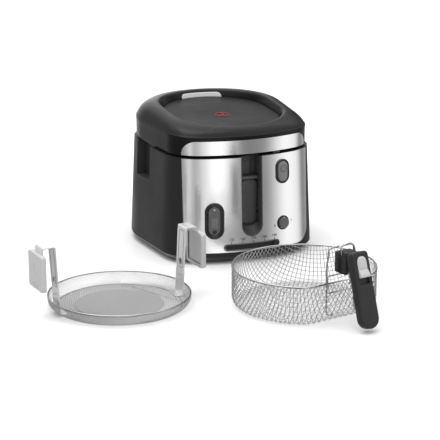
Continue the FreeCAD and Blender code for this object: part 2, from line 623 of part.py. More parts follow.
cover = upright("cover", "disc_top - cover_thickness", "disc_top", "fit_gap", 1.0, "disc_tilt")
cover_end = box("cover_end", "4 * tab_half", "front_reach", "2 * margin",
                ("0 - 2 * tab_half", "tab_y", "disc_top - margin"))
finish(cut("cover_plate", cover, cover_end), "filter_cover", FRYER)
tab_box = box("tab_box", "2 * tab_half", "front_reach", "2 * margin",
              ("0 - tab_half", "tab_y + fit_gap", "disc_top - margin"))
tab_low, tab_high = "disc_top - cover_thickness + fit_gap", "disc_top + tab_rise"
tab_plan = upright("tab_plan", tab_low, tab_high, "3", 1.0, "disc_tilt")
finish(common("tab", tab_plan, tab_box), "cover_latch", FRYER)
cartridge = box("cartridge", "2 * cartridge_half", "2 * cartridge_half", "cartridge_height",
                ("0 - cartridge_half", "cartridge_y - cartridge_half", "disc_top - 22"))
finish(cartridge, "odour_filter", FRYER)

liner_plate = rod("liner_plate", "bowl_radius + 6", "liner_height", ("0", "0", "seam_high + 4"))
VENTS = 6
liner_vents = [rod(f"liner_vent_{i}", "vent_radius", "margin",
                   (f"vent_circle * {math.cos(i * math.tau / VENTS):.4f}",
                    f"vent_circle * {math.sin(i * math.tau / VENTS):.4f}", "seam_high"))
               for i in range(VENTS)]
finish(cut("liner", liner_plate, *liner_vents), "lid_liner", FRYER)
seal_outside = rod("seal_outside", "bowl_radius + 4", "seal_height", ("0", "0", "seam_high + 0.4"))
seal_inside = rod("seal_inside", "bowl_radius - 1", "margin", ("0", "0", "seam_high - 5"))
finish(cut("seal", seal_outside, seal_inside), "lid_seal", FRYER)
finish(box("catch_hook", "hook_width", "hook_depth", "hook_height", ("hook_x", "hook_y", "seam_high - 8")),
       "lid_hook", FRYER)
finish(box("catch_bolt", "hook_width", "bolt_depth", "bolt_height",
           ("hook_x + hook_width + 2", "hook_y + 2", "seam_low - 2 * bolt_height")),
       "latch_bolt", FRYER)


# ---------------------------------------------------------------- hinge of the lid

def knuckle(name, low_x, width, frame_y, frame_low, frame_height):
    """One barrel of the hinge with the arm that carries it."""
    barrel = rod(f"{name}_barrel", "knuckle_radius", width, (low_x, "hinge_y", "hinge_z"), X_AXIS)
    arm = box(f"{name}_arm", width, f"hinge_y - ({frame_y})", frame_height,
              (low_x, frame_y, frame_low))
    return fuse(name, barrel, arm)


hinge_bore = rod("hinge_bore", "hinge_pin_radius + running_gap", f"{BEYOND}",
                 ("0 - 200", "hinge_y", "hinge_z"), X_AXIS)
pin_bore = rod("pin_bore", "hinge_pin_radius", f"{BEYOND}",
               ("0 - 200", "hinge_y", "hinge_z"), X_AXIS)
lid_rear = "case_rear_y + case_rear_radius - lid_inset"
case_rear = "case_rear_y + case_rear_radius"
lid_knuckles, case_knuckles = [], []
for side, sign in (("left", -1), ("right", 1)):
    low_x = "knuckle_inner" if sign > 0 else "0 - knuckle_inner - knuckle_width"
    outer_x = ("knuckle_inner + knuckle_width + fit_gap" if sign > 0
               else "0 - knuckle_inner - 2 * knuckle_width - fit_gap")
    lid_knuckles.append(knuckle(f"lid_knuckle_{side}", low_x, "knuckle_width", f"{lid_rear} - 0.2",
                                "hinge_z", "knuckle_radius"))
    case_knuckles.append(knuckle(f"case_knuckle_{side}", outer_x, "knuckle_width", case_rear,
                                 "seam_low - 22", "22"))
leaf = cut("leaf", group("leaf_arms", *lid_knuckles), lid_outside, hinge_bore)
finish(leaf, "hinge_leaves", FRYER)
case_hinge = cut("case_hinge", group("case_arms", *case_knuckles), casing_solid, pin_bore)
finish(case_hinge, "hinge_brackets", FRYER)
finish(rod("hinge_axle", "hinge_pin_radius", "2 * (knuckle_inner + 2 * knuckle_width + fit_gap)",
           ("0 - knuckle_inner - 2 * knuckle_width - fit_gap", "hinge_y", "hinge_z"), X_AXIS),
       "hinge_pin", FRYER)


# ---------------------------------------------------------------- frying basket

def flat_sided(body, name, inset):
    """The basket's plan moved in by inset, on the body's XY plane: a circle with one flat side."""
    sketch = body.newObject("Sketcher::SketchObject", name)
    plane = next(item for item in body.Origin.OriginFeatures if item.Role == "XY_Plane")
    sketch.AttachmentSupport = (plane, "")
    sketch.MapMode = "FlatFace"
    radius, chord = size("basket_radius"), size("basket_chord")
    reach = math.sqrt(radius ** 2 - chord ** 2)
    corner = math.atan2(-chord, reach)
    circle = Part.Circle(Vector(0, 0, 0), Z_AXIS, radius)
    sketch.addGeometry(Part.ArcOfCircle(circle, corner, math.pi - corner))
    sketch.addGeometry(Part.LineSegment(Vector(-reach, -chord, 0), Vector(reach, -chord, 0)))
    for parts in (("Coincident", 0, 3, -1, 1), ("Coincident", 0, 2, 1, 1), ("Coincident", 1, 2, 0, 1),
                  ("Horizontal", 1)):
        sketch.addConstraint(Sketcher.Constraint(*parts))
    for label, parts, text in (("round", ("Radius", 0, radius), "basket_radius"),
                               ("flat", ("DistanceY", 1, 1, -1, 1, chord), "basket_chord")):
        sketch.renameConstraint(sketch.addConstraint(Sketcher.Constraint(*parts)), label)
        sketch.setExpression(f"Constraints.{label}", formula(f"{text} - ({inset})"))
    return sketch


def edges_at(shape, height):
    """Names of the edges that lie level at a height."""
    return [f"Edge{i}" for i, edge in enumerate(shape.Edges, 1)
            if edge.BoundBox.ZLength < 0.01 and abs(edge.BoundBox.ZMin - height) < 0.01]


def dish(name, inset, high):
    """A solid of the basket's plan from inset up to high, rounded along its lower edge."""
    body = doc.addObject("PartDesign::Body", name)
    pad = body.newObject("PartDesign::Pad", f"{name}_pad")
    pad.Profile = flat_sided(body, f"{name}_outline", inset)
    bind(pad, Length=f"{high} - ({inset})")
    doc.recompute()
    rounded = body.newObject("PartDesign::Fillet", f"{name}_round")
    rounded.Base = (pad, edges_at(pad.Shape, 0))
    bind(rounded, Radius=f"basket_corner - ({inset})")
    return put(body, z=inset)


finish(cut("basket", dish("basket_outside", "0", "basket_height - rim_wire"),
           dish("basket_inside", "mesh_thickness", "basket_height + 10")),
       "basket_mesh", BASKET)

half_flat = "sqrt(basket_radius ^ 2 - basket_chord ^ 2)"
rim_round = bind(doc.addObject("Part::Torus", "rim_round"), Radius1="basket_radius",
                 Radius2="rim_wire",
                 Angle3="180 deg + 2 * asin(basket_chord / basket_radius)",
                 Placement__Base__z="basket_height")
rim_round.Placement.Rotation = Rotation(Z_AXIS, -math.degrees(
    math.asin(size("basket_chord") / size("basket_radius"))))
rim_flat = rod("rim_flat", "rim_wire", f"2 * {half_flat}",
               (f"0 - {half_flat}", "0 - basket_chord", "basket_height"), X_AXIS)
rim_corners = [ball(f"rim_corner_{word}", "rim_wire",
                    (f"{sign} * {half_flat}", "0 - basket_chord", "basket_height"))
               for word, sign in (("left", -1), ("right", 1))]
finish(fuse("rim", rim_round, rim_flat, *rim_corners), "basket_rim", BASKET)

wire_y = "0 - basket_chord - rim_wire - frame_wire"
frame_pieces = []
for word, sign in (("left", -1), ("right", 1)):
    frame_x = f"{sign} * frame_half"
    frame_pieces.append(rod(f"upright_{word}", "frame_wire", "frame_top + 4 - basket_corner",
                            (frame_x, wire_y, "basket_corner")))
    frame_pieces.append(ball(f"bend_{word}", "frame_wire", (frame_x, wire_y, "frame_top + 4")))
for word, level in (("high", "frame_top + 4"), ("low", "basket_height - 14")):
    frame_pieces.append(rod(f"crossbar_{word}", "frame_wire", "2 * frame_half",
                            ("0 - frame_half", wire_y, level), X_AXIS))
finish(fuse("frame", *frame_pieces), "basket_frame", BASKET)

yoke_block = box("yoke_block", "2 * yoke_half", "yoke_out + yoke_in", "yoke_high - yoke_low",
                 ("0 - yoke_half", "0 - basket_chord - yoke_out", "yoke_low"))
tongue_arm = box("tongue_arm", "2 * tongue_half - 1", "pivot_out - yoke_out", "2 * tongue_radius",
                 ("0.5 - tongue_half", "0 - basket_chord - pivot_out", "pivot_z - tongue_radius"))
tongue_end = rod("tongue_end", "tongue_radius", "2 * tongue_half - 1",
                 ("0.5 - tongue_half", "0 - basket_chord - pivot_out", "pivot_z"), X_AXIS)
tongue_bore = rod("tongue_bore", "pivot_radius", f"{BEYOND}",
                  ("0 - 200", "0 - basket_chord - pivot_out", "pivot_z"), X_AXIS)
frame_clamp = rod("frame_clamp", "frame_wire", "2 * frame_half",
                  ("0 - frame_half", wire_y, "frame_top + 4"), X_AXIS)
finish(cut("yoke", fuse("yoke_stock", yoke_block, tongue_arm, tongue_end), tongue_bore, frame_clamp),
       "handle_bracket", BASKET)
finish(rod("pivot", "pivot_radius", "2 * handle_half - 4",
           ("2 - handle_half", "0 - basket_chord - pivot_out", "pivot_z"), X_AXIS),
       "handle_pin", BASKET)


# ---------------------------------------------------------------- basket handle

def handle_solid(name, low_y, high_y, inset="0"):
    """The handle's outline between two depths: square head, long sides, round tip."""
    half = f"(handle_half - ({inset}))"
    depth = f"({high_y}) - ({low_y})"
    core = box(f"{name}_core", f"2 * {half}", depth,
               f"handle_head + handle_reach - handle_half - ({inset})",
               (f"0 - {half}", low_y, "handle_half - handle_reach"))
    tip = rod(f"{name}_tip", half, depth, ("0", low_y, "handle_half - handle_reach"), Y_AXIS)
    return fuse(name, core, tip)


head_slot = box("head_slot", "2 * tongue_half", "40", "handle_head + 28",
                ("0 - tongue_half", "0 - 5.2", "0 - 8"))
pivot_bore = rod("pivot_bore", "pivot_radius + running_gap", f"{BEYOND}", ("0 - 200", "0", "0"), X_AXIS)
catch_window = box("catch_window", "2 * (catch_half + fit_gap)", "20",
                   "catch_top - catch_low + catch_travel + 2 * fit_gap",
                   ("0 - catch_half - fit_gap", "0 - handle_half_thickness - 5",
                    "catch_low - catch_travel - fit_gap"))
front_shell = cut("front_shell", handle_solid("front_stock", "0 - handle_half_thickness", "shell_split"),
                  catch_window, head_slot, pivot_bore)
finish(front_shell, "handle_front", HANDLE)
handle_room = box("handle_room", "2 * handle_half - 6", "7", "60",
                  ("3 - handle_half", "shell_split - 1", "0 - 84"))
back_shell = cut("back_shell", handle_solid("back_stock", "shell_split", "handle_half_thickness"),
                 head_slot, pivot_bore, handle_room)
finish(back_shell, "handle_back", HANDLE)
slide_plate = box("slide_plate", "2 * catch_half", "3.3", "catch_top - catch_low",
                  ("0 - catch_half", "0 - handle_half_thickness - 1.2", "catch_low"))
slide_lip = box("slide_lip", "2 * catch_half", "4", "5",
                ("0 - catch_half", "0 - handle_half_thickness - 4.2", "catch_low + 4"))
finish(fuse("slide_catch", slide_plate, slide_lip), "handle_catch", HANDLE)
rivets = [rod(f"handle_screw_{i}", "2.2", "1.4", ("0", "handle_half_thickness", f"{level}"), Y_AXIS)
          for i, level in enumerate((-40, -88))]
finish(group("handle_rivets", *rivets), "handle_screws", HANDLE)


# ---------------------------------------------------------------- oil filter

sieve_outside = rod("sieve_outside", "sieve_radius", "sieve_height - sieve_wire")
sieve_inside = rod("sieve_inside", "sieve_radius - sieve_thickness", "sieve_height",
                   ("0", "0", "sieve_thickness"))
finish(cut("sieve", sieve_outside, sieve_inside), "filter_mesh", FILTER)
finish(ring("sieve_rim", "sieve_radius", "sieve_wire", ("0", "0", "sieve_height")), "filter_rim", FILTER)

for side, sign in (("left", -1), ("right", 1)):
    inner_x = f"{sign} * strap_reach - strap_thickness / 2"
    riser = box(f"{side}_riser", "strap_thickness", "2 * strap_half", "strap_top - sieve_thickness - 0.2",
                (inner_x, "0 - strap_half", "sieve_thickness + 0.2"))
    over = box(f"{side}_over", "hook_out", "2 * strap_half", "strap_thickness",
               (f"{sign} * (strap_reach + hook_out / 2) - hook_out / 2", "0 - strap_half",
                "strap_top - strap_thickness"))
    drop = box(f"{side}_drop", "strap_thickness", "2 * strap_half", "strap_top - grip_low - 12",
               (f"{sign} * (strap_reach + hook_out) - strap_thickness / 2", "0 - strap_half",
                "grip_low + 12"))
    strap_slot = box(f"{side}_strap_slot", "10", "9", "42", (f"{sign} * strap_reach - 5", "0 - 4.5", "58"))
    strap_hole = rod(f"{side}_strap_hole", "3", "20", (f"{sign} * strap_reach - 10", "0", "48"), X_AXIS)
    rim_bore = ring(f"{side}_rim_bore", "sieve_radius", "sieve_wire", ("0", "0", "sieve_height"))
    strap = cut(f"{side}_strap_cut", fuse(f"{side}_strap_stock", riser, over, drop), strap_slot,
                strap_hole, rim_bore)
    finish(strap, f"{side}_strap", FILTER)
    grip_block = box(f"{side}_grip_block", "grip_thickness", "2 * grip_half", "grip_height",
                     (f"{sign} * (strap_reach + hook_out + grip_thickness / 2 - 1) - grip_thickness / 2",
                      "0 - grip_half", "grip_low"))
    strap_room = box(f"{side}_strap_room", "strap_thickness", "2 * strap_half", f"{BEYOND}",
                     (f"{sign} * (strap_reach + hook_out) - strap_thickness / 2", "0 - strap_half",
                      "grip_low + 12"))
    finish(cut(f"{side}_grip_cut", grip_block, strap_room), f"{side}_grip", FILTER)
weld_dots = [rod(f"weld_{side}_{i}", "1.6", "1.2", (f"{sign} * (strap_reach - 1.2) - 0.6", f"{y}", f"{z}"),
                 X_AXIS)
             for side, sign in (("left", -1), ("right", 1))
             for i, (y, z) in enumerate(((-6, 34), (6, 34), (0, 28)))]
finish(group("welds", *weld_dots), "strap_rivets", FILTER)


# ---------------------------------------------------------------- check and write

doc.recompute()
faulty = [item.Name for item in doc.Objects if {"Invalid", "Error"} & set(item.State)]
if faulty:
    raise RuntimeError(f"objects that did not compute: {faulty}")
for item in sub_parts:
    if item.Shape.isNull() or not item.Shape.isValid() or not item.Shape.Solids:
        raise RuntimeError(f"{item.Label} has no valid shape")

os.makedirs("parts", exist_ok=True)
for item in sub_parts:
    item.Shape.exportStep(os.path.join("parts", f"{item.Label}.step"))
whole = Part.makeCompound([item.Shape for item in sub_parts]).BoundBox
print(len(sub_parts), "sub-parts", [round(v, 1) for v in (whole.XMin, whole.XMax, whole.YMin,
                                                       whole.YMax, whole.ZMin, whole.ZMax)])
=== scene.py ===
"""Looks of the deep fryer, its frying basket and its oil filter, over their CAD bodies.

Shapes are drawn in millimetres, each in the frame of its own thing:
  fryer   origin on the axis of its bowl, front towards -Y
  basket  origin in the middle of its floor, flat side towards -Y
  handle  origin on its pivot, hanging along -Z, outer face towards -Y
  filter  origin in the middle of its floor, hangers along X
"""
import json
import math

import bmesh
import bpy
from mathutils import Matrix, Vector


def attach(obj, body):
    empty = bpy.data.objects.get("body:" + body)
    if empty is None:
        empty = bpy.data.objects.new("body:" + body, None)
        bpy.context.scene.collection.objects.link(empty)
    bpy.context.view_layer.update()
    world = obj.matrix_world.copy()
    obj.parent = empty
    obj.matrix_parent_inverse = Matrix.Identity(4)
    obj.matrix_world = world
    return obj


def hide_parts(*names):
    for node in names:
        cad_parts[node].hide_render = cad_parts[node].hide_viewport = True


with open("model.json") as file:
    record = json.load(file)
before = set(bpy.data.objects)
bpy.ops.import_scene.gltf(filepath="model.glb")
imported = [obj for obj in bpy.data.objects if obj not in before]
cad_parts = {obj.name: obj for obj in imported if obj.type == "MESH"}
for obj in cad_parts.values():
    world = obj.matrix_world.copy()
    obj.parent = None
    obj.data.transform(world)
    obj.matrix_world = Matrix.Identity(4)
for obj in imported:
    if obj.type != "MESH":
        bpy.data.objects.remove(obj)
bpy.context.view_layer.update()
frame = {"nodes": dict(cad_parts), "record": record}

# ---------------------------------------------------------------- sizes

MM = Matrix.Scale(0.001, 4)
FRYER = Matrix.Translation((0.1370, 0.1894, 0.0)) @ MM
BASKET = Matrix.Translation((0.1280, -0.1992, 0.0)) @ Matrix.Rotation(math.radians(12.5), 4, "Z") @ MM
HANDLE = BASKET @ Matrix.Translation((0, -131.5, 105)) @ Matrix.Rotation(math.radians(-17.5), 4, "X")
FILTER = Matrix.Translation((-0.1424, -0.0984, 0.0)) @ Matrix.Rotation(math.radians(6), 4, "Z") @ MM

# Plans of the casing and of the lid's disc: front y, front radius, corner x, corner radius,
# rear y, rear radius.
CASE_PLAN = (-153, 260, 64, 66, 27, 138)
DISC_PLAN = (-119.5, 140, 20, 72, 10, 92.5)
FLARE = 8
SEAM_LOW, SEAM_HIGH = 182, 184.4
SHOULDER = 214
LID_INSET, RING_WIDTH = 4, 9
PANEL_HALF, PANEL_LOW, PANEL_CORNER = 113, 20.5, 24
BAND_HALF, BAND_LOW, BAND_HIGH, BAND_CORNER = 111.5, 186.6, 210.4, 20
SKIN = 0.9
CHANNEL_HALF, CHANNEL_LOW, CHANNEL_BACK = 18.5, 46, -125
TIMER_ANGLE, RELEASE_ANGLE = -14.3, 12.8
BASKET_RADIUS, BASKET_CHORD, BASKET_TOP = 112.5, 94.5, 62
SIEVE_RADIUS, SIEVE_TOP = 111.5, 19


# ---------------------------------------------------------------- materials

def node(tree, kind, **inputs):
    """Adds a shader node and sets or links its inputs by name."""
    made = tree.nodes.new(kind)
    for name, value in inputs.items():
        socket = made.inputs[name.replace("_", " ")]
        if isinstance(value, bpy.types.NodeSocket):
            tree.links.new(value, socket)
        else:
            socket.default_value = value
    return made


def grey(value):
    return (value, value, value, 1.0)


def surface(name, dark, light, rough, metallic=0.0, grain=900.0, stretch=(1, 1, 1), bump=0.02,
            spread=0.08, coat=0.0, specular=0.5):
    """A worn surface: its colour runs between two tones and its roughness varies by spread."""
    material = bpy.data.materials.new(name)
    material.use_nodes = True
    tree = material.node_tree
    shader = tree.nodes["Principled BSDF"]
    place = tree.nodes.new("ShaderNodeTexCoord").outputs["Object"]
    stretched = node(tree, "ShaderNodeMapping", Vector=place, Scale=stretch).outputs["Vector"]
    fine = node(tree, "ShaderNodeTexNoise", Vector=stretched, Scale=grain, Detail=3.0)
    broad = node(tree, "ShaderNodeTexNoise", Vector=place, Scale=14.0, Detail=5.0, Roughness=0.6)
    tone = node(tree, "ShaderNodeMix")
    tone.data_type = "RGBA"
    tone.inputs[6].default_value = dark
    tone.inputs[7].default_value = light
    blend = node(tree, "ShaderNodeMath")
    blend.operation = "MULTIPLY_ADD"
    tree.links.new(fine.outputs[0], blend.inputs[0])
    blend.inputs[1].default_value = 0.4
    half = node(tree, "ShaderNodeMath")
    half.operation = "MULTIPLY"
    half.inputs[1].default_value = 0.6
    tree.links.new(broad.outputs[0], half.inputs[0])
    tree.links.new(half.outputs[0], blend.inputs[2])
    tree.links.new(blend.outputs[0], tone.inputs[0])
    tree.links.new(tone.outputs[2], shader.inputs["Base Color"])
    wear = node(tree, "ShaderNodeMapRange")
    wear.inputs["From Min"].default_value = 0.3
    wear.inputs["From Max"].default_value = 0.7
    wear.inputs["To Min"].default_value = rough - spread
    wear.inputs["To Max"].default_value = rough + spread
    tree.links.new(broad.outputs[0], wear.inputs["Value"])
    tree.links.new(wear.outputs["Result"], shader.inputs["Roughness"])
    relief = node(tree, "ShaderNodeBump", Height=fine.outputs[0], Strength=bump, Distance=0.0004)
    tree.links.new(relief.outputs["Normal"], shader.inputs["Normal"])
    shader.inputs["Metallic"].default_value = metallic
    shader.inputs["Coat Weight"].default_value = coat
    shader.inputs["Coat Roughness"].default_value = 0.15
    shader.inputs["Specular IOR Level"].default_value = specular
    return material


MATERIALS = {
    "black_plastic": surface("black_plastic", grey(0.015), grey(0.021), 0.4, grain=1500, bump=0.12,
                             specular=0.2),
    "lid_plastic": surface("lid_plastic", grey(0.006), grey(0.009), 0.26, grain=1500, bump=0.06,
                           specular=0.16),
    "base_plastic": surface("base_plastic", grey(0.005), grey(0.008), 0.4, grain=1500, bump=0.12),
    # Painted light: a lighter copy of the black plastic for the grip pockets, standing in for light on their
    # deep walls.
    "pocket_painted_light_plastic": surface("pocket_painted_light_plastic", grey(0.02), grey(0.028), 0.5, grain=1500, bump=0.12),
    # Painted light: a lighter copy of the black plastic for the handle channel, so that its strip, ledge and
    # floor read lit.
    "channel_painted_light_plastic": surface("channel_painted_light_plastic", grey(0.05), grey(0.06), 0.27, grain=1500, bump=0.06),
    "lid_disc_plastic": surface("lid_disc_plastic", grey(0.01), grey(0.013), 0.42, grain=1500, bump=0.08,
                                specular=0.12),
    "handle_plastic": surface("handle_plastic", grey(0.017), grey(0.023), 0.5, grain=1500, bump=0.15,
                              specular=0.35),
    "grey_plastic": surface("grey_plastic", grey(0.44), grey(0.5), 0.36, grain=1500, bump=0.06),
    "control_plastic": surface("control_plastic", grey(0.085), grey(0.1), 0.36, grain=1500, bump=0.05),
    "button_plastic": surface("button_plastic", grey(0.15), grey(0.18), 0.36, grain=1500, bump=0.05),
    "gloss_black": surface("gloss_black", grey(0.006), grey(0.009), 0.26, grain=1500, bump=0.03),
    # Near-black for the slider's slot: painted shade of its opening.
    "slot_painted_shade_black": surface("slot_painted_shade_black", grey(0.002), grey(0.004), 0.6, grain=1500, bump=0.1),
    "display_glass": surface("display_glass", grey(0.1), grey(0.12), 0.12, grain=300, bump=0.01, coat=0.6),
    "satin_steel": surface("satin_steel", grey(0.84), grey(0.9), 0.17, metallic=1.0, grain=700,
                           stretch=(1, 1, 14), bump=0.04, spread=0.03),
    "strap_steel": surface("strap_steel", grey(0.72), grey(0.8), 0.24, metallic=0.6, grain=700,
                           stretch=(6, 6, 1), bump=0.05, spread=0.06),
    "rim_steel": surface("rim_steel", grey(0.34), grey(0.46), 0.25, metallic=1.0, grain=700, bump=0.05),
    "wire_mesh": surface("wire_mesh", grey(0.42), grey(0.56), 0.28, metallic=1.0, grain=500, bump=0.05),
    "gauze": surface("gauze", grey(0.5), grey(0.62), 0.32, metallic=1.0, grain=500, bump=0.05),
    # A darker copy of the gauze for the middle of the filter's floor: painted shade.
    "gauze_painted_shade": surface("gauze_painted_shade", grey(0.36), grey(0.46), 0.36, metallic=1.0, grain=500, bump=0.05),
    "rubber_black": surface("rubber_black", grey(0.015), grey(0.022), 0.75, grain=1200, bump=0.2),
    "bowl_aluminium": surface("bowl_aluminium", grey(0.42), grey(0.5), 0.38, metallic=1.0, grain=400,
                              stretch=(1, 1, 10), bump=0.08),
    "inner_steel": surface("inner_steel", grey(0.4), grey(0.5), 0.35, metallic=1.0, grain=600, bump=0.06),
    "inner_plastic": surface("inner_plastic", (0.5, 0.45, 0.36, 1), (0.56, 0.51, 0.42, 1), 0.5, bump=0.08),
    "circuit_board": surface("circuit_board", (0.02, 0.09, 0.04, 1), (0.04, 0.14, 0.06, 1), 0.35,
                             grain=220, bump=0.1),
    "filter_foam": surface("filter_foam", grey(0.01), grey(0.03), 0.9, grain=420, bump=0.8),
    "red_print": surface("red_print", (0.3, 0.008, 0.01, 1), (0.36, 0.015, 0.016, 1), 0.4, bump=0.02),
    # Dark print for the panel's marks, also used as painted shade in the grooves of the grips.
    "dark_print_and_painted_shade": surface("dark_print_and_painted_shade", grey(0.03), grey(0.045), 0.5, bump=0.02),
    "timer_dot_white": surface("timer_dot_white", grey(0.7), grey(0.78), 0.45, bump=0.02),
    "floor": surface("floor", grey(0.8), grey(0.82), 0.6, grain=60, bump=0.0),
}


# ---------------------------------------------------------------- meshes

class Shape:
    """Points and faces that are gathered into one mesh."""

    def __init__(self, *parts):
        self.points = []
        self.faces = []
        for part in parts:
            self.add(part)

    def add(self, part):
        points, faces = part
        first = len(self.points)
        self.points += [Vector(point) for point in points]
        self.faces += [tuple(first + index for index in face) for face in faces]
        return self


def piece(name, shape, material, body, place, replaced=(), crease=32):
    """Makes the mesh, smooth except at creases, and fixes it to its CAD body."""
    mesh = bpy.data.meshes.new(name)
    mesh.from_pydata([place @ point for point in shape.points], [], shape.faces)
    tidy = bmesh.new()
    tidy.from_mesh(mesh)
    bmesh.ops.recalc_face_normals(tidy, faces=tidy.faces)
    tidy.to_mesh(mesh)
    tidy.free()
    mesh.shade_smooth()
    mesh.set_sharp_from_angle(angle=math.radians(crease))
    mesh.materials.append(MATERIALS[material])
    item = bpy.data.objects.new(name, mesh)
    bpy.context.scene.collection.objects.link(item)
    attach(item, body)
    if replaced:
        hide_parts(*replaced)
    return item


def skinned(loops, closed=True, low_cap=False, high_cap=False, wrap=False):
    """Skins a stack of loops that all have the same number of points."""
    count = len(loops[0])
    points = [point for loop in loops for point in loop]
    faces = []
    for i in range(len(loops) if wrap else len(loops) - 1):
        here, there = i * count, (i + 1) % len(loops) * count
        for j in range(count if closed else count - 1):
            k = (j + 1) % count
            faces.append((here + j, here + k, there + k, there + j))
    if low_cap:
        faces.append(tuple(reversed(range(count))))
    if high_cap:
        faces.append(tuple(range(len(points) - count, len(points))))
    return points, faces


def tube(path, radius, sides=8, closed=False):
    """Round wire along a path."""
    path = [Vector(point) for point in path]
    turns = [2 * math.pi * k / sides for k in range(sides)]
    loops = []
    normal = None
    last = len(path) - 1
    for i, point in enumerate(path):
        ahead = path[(i + 1) % len(path)] if closed or i < last else point
        behind = path[i - 1] if closed or i else point
        along = (ahead - behind).normalized()
        if normal is None:
            normal = Vector((1, 0, 0)) if abs(along.z) > 0.8 else Vector((0, 0, 1))
        normal = (normal - along * normal.dot(along)).normalized()
        side = along.cross(normal)
        loops.append([point + (normal * math.cos(t) + side * math.sin(t)) * radius for t in turns])
    return skinned(loops, low_cap=not closed, high_cap=not closed, wrap=closed)


def bent(corners, radius, steps=6):
    """A path through corners that are rounded off."""
    corners = [Vector(corner) for corner in corners]
    path = [corners[0]]
    for before, corner, after in zip(corners, corners[1:], corners[2:]):
        reach = min(radius, (before - corner).length * 0.49, (after - corner).length * 0.49)
        start = corner + (before - corner).normalized() * reach
        end = corner + (after - corner).normalized() * reach
        for k in range(steps + 1):
            t = k / steps
            path.append(start * (1 - t) ** 2 + corner * 2 * t * (1 - t) + end * t ** 2)
    return path + [corners[-1]]


def outline(half_u, half_v, radius, inset=0.0, steps=8, runs=0):
    """A rectangle with round corners, moved in by inset. The number of points depends on steps only,
    and on runs, the points along each of its long sides.
    """
    radius = min(radius, half_u, half_v)
    arc = max(radius - inset, 0.02)
    side_u = max(half_u - inset, arc) - arc
    side_v = max(half_v - inset, arc) - arc
    points = []
    for quarter, (sign_u, sign_v) in enumerate(((1, 1), (-1, 1), (-1, -1), (1, -1))):
        for k in range(steps + 1):
            turn = (quarter + k / steps) * math.pi / 2
            points.append((sign_u * side_u + arc * math.cos(turn), sign_v * side_v + arc * math.sin(turn)))
        if quarter in (0, 2):
            level = points[-1][1]
            points += [(u, level) for u in spread(sign_u * side_u, -sign_u * side_u, runs + 2)[1:-1]]
    return points


def pad(place, half_u, half_v, radius, profile, steps=8):
    """A plate with a rounded outline. profile lists (inset, height) from its back to its face."""
    loops = [[place(u, v, w) for u, v in outline(half_u, half_v, radius, inset, steps)]
             for inset, w in profile]
    return skinned(loops, low_cap=True, high_cap=True)


def frame_ring(place, half_u, half_v, radius, profile, steps=8):
    """A closed ring with a rounded outline. profile goes once around its section."""
    loops = [[place(u, v, w) for u, v in outline(half_u, half_v, radius, inset, steps)]
             for inset, w in profile]
    return skinned(loops, wrap=True)


def spread(start, end, count):
    return [start + (end - start) * k / (count - 1) for k in range(count)]


def block(low, high, edge=1.0, steps=3):
    """A box with rounded edges."""
    low, high = Vector(low), Vector(high)
    middle, half = (low + high) / 2, (high - low) / 2
    edge = min(edge, half.x * 0.98, half.y * 0.98, half.z * 0.98)
    loops = []
    for level in (-1, 1):
        turns = spread(-math.pi / 2, 0, steps + 1) if level < 0 else spread(0, math.pi / 2, steps + 1)
        for turn in turns:
            inset = edge * (1 - math.cos(turn))
            z = middle.z + level * (half.z - edge) + edge * math.sin(turn)
            loops.append([(middle.x + u, middle.y + v, z)
                          for u, v in outline(half.x, half.y, edge, inset, steps)])
    return skinned(loops, low_cap=True, high_cap=True)


def disc(place, radius, low, high, sides=32):
    """A short round plug between two heights."""
    turns = [2 * math.pi * k / sides for k in range(sides)]
    loops = [[place(radius * math.cos(t), radius * math.sin(t), w) for t in turns] for w in (low, high)]
    return skinned(loops, low_cap=True, high_cap=True)


def lettering(text, height, place, thickness=0.12):
    """Flat print on a surface."""
    curve = bpy.data.curves.new("lettering", "FONT")
    curve.body = text
    curve.size = height
    curve.align_x = "CENTER"
    curve.align_y = "CENTER"
    curve.extrude = thickness
    curve.resolution_u = 3
    item = bpy.data.objects.new("lettering", curve)
    mesh = bpy.data.meshes.new_from_object(item)
    points = [place(point.co.x, point.co.y, point.co.z) for point in mesh.vertices]
    faces = [tuple(face.vertices) for face in mesh.polygons]
    bpy.data.meshes.remove(mesh)
    bpy.data.objects.remove(item)
    bpy.data.curves.remove(curve)
    return points, faces


def flat_plate(outlines, thickness, edge, place):
    """A plate cut from flat outlines; the ones inside the first are its holes."""
    curve = bpy.data.curves.new("plate", "CURVE")
    curve.dimensions = "2D"
    curve.fill_mode = "BOTH"
    curve.extrude = thickness / 2 - edge
    curve.bevel_depth = edge
    curve.bevel_resolution = 1
    for points in outlines:
        spline = curve.splines.new("POLY")
        spline.points.add(len(points) - 1)
        for spot, (u, v) in zip(spline.points, points):
            spot.co = (u, v, 0, 1)
        spline.use_cyclic_u = True
    item = bpy.data.objects.new("plate", curve)
    mesh = bpy.data.meshes.new_from_object(item)
    points = [place(point.co.x, point.co.y, point.co.z) for point in mesh.vertices]
    faces = [tuple(face.vertices) for face in mesh.polygons]
    bpy.data.meshes.remove(mesh)
    bpy.data.objects.remove(item)
    bpy.data.curves.remove(curve)
    return points, faces


# ---------------------------------------------------------------- plan of the fryer

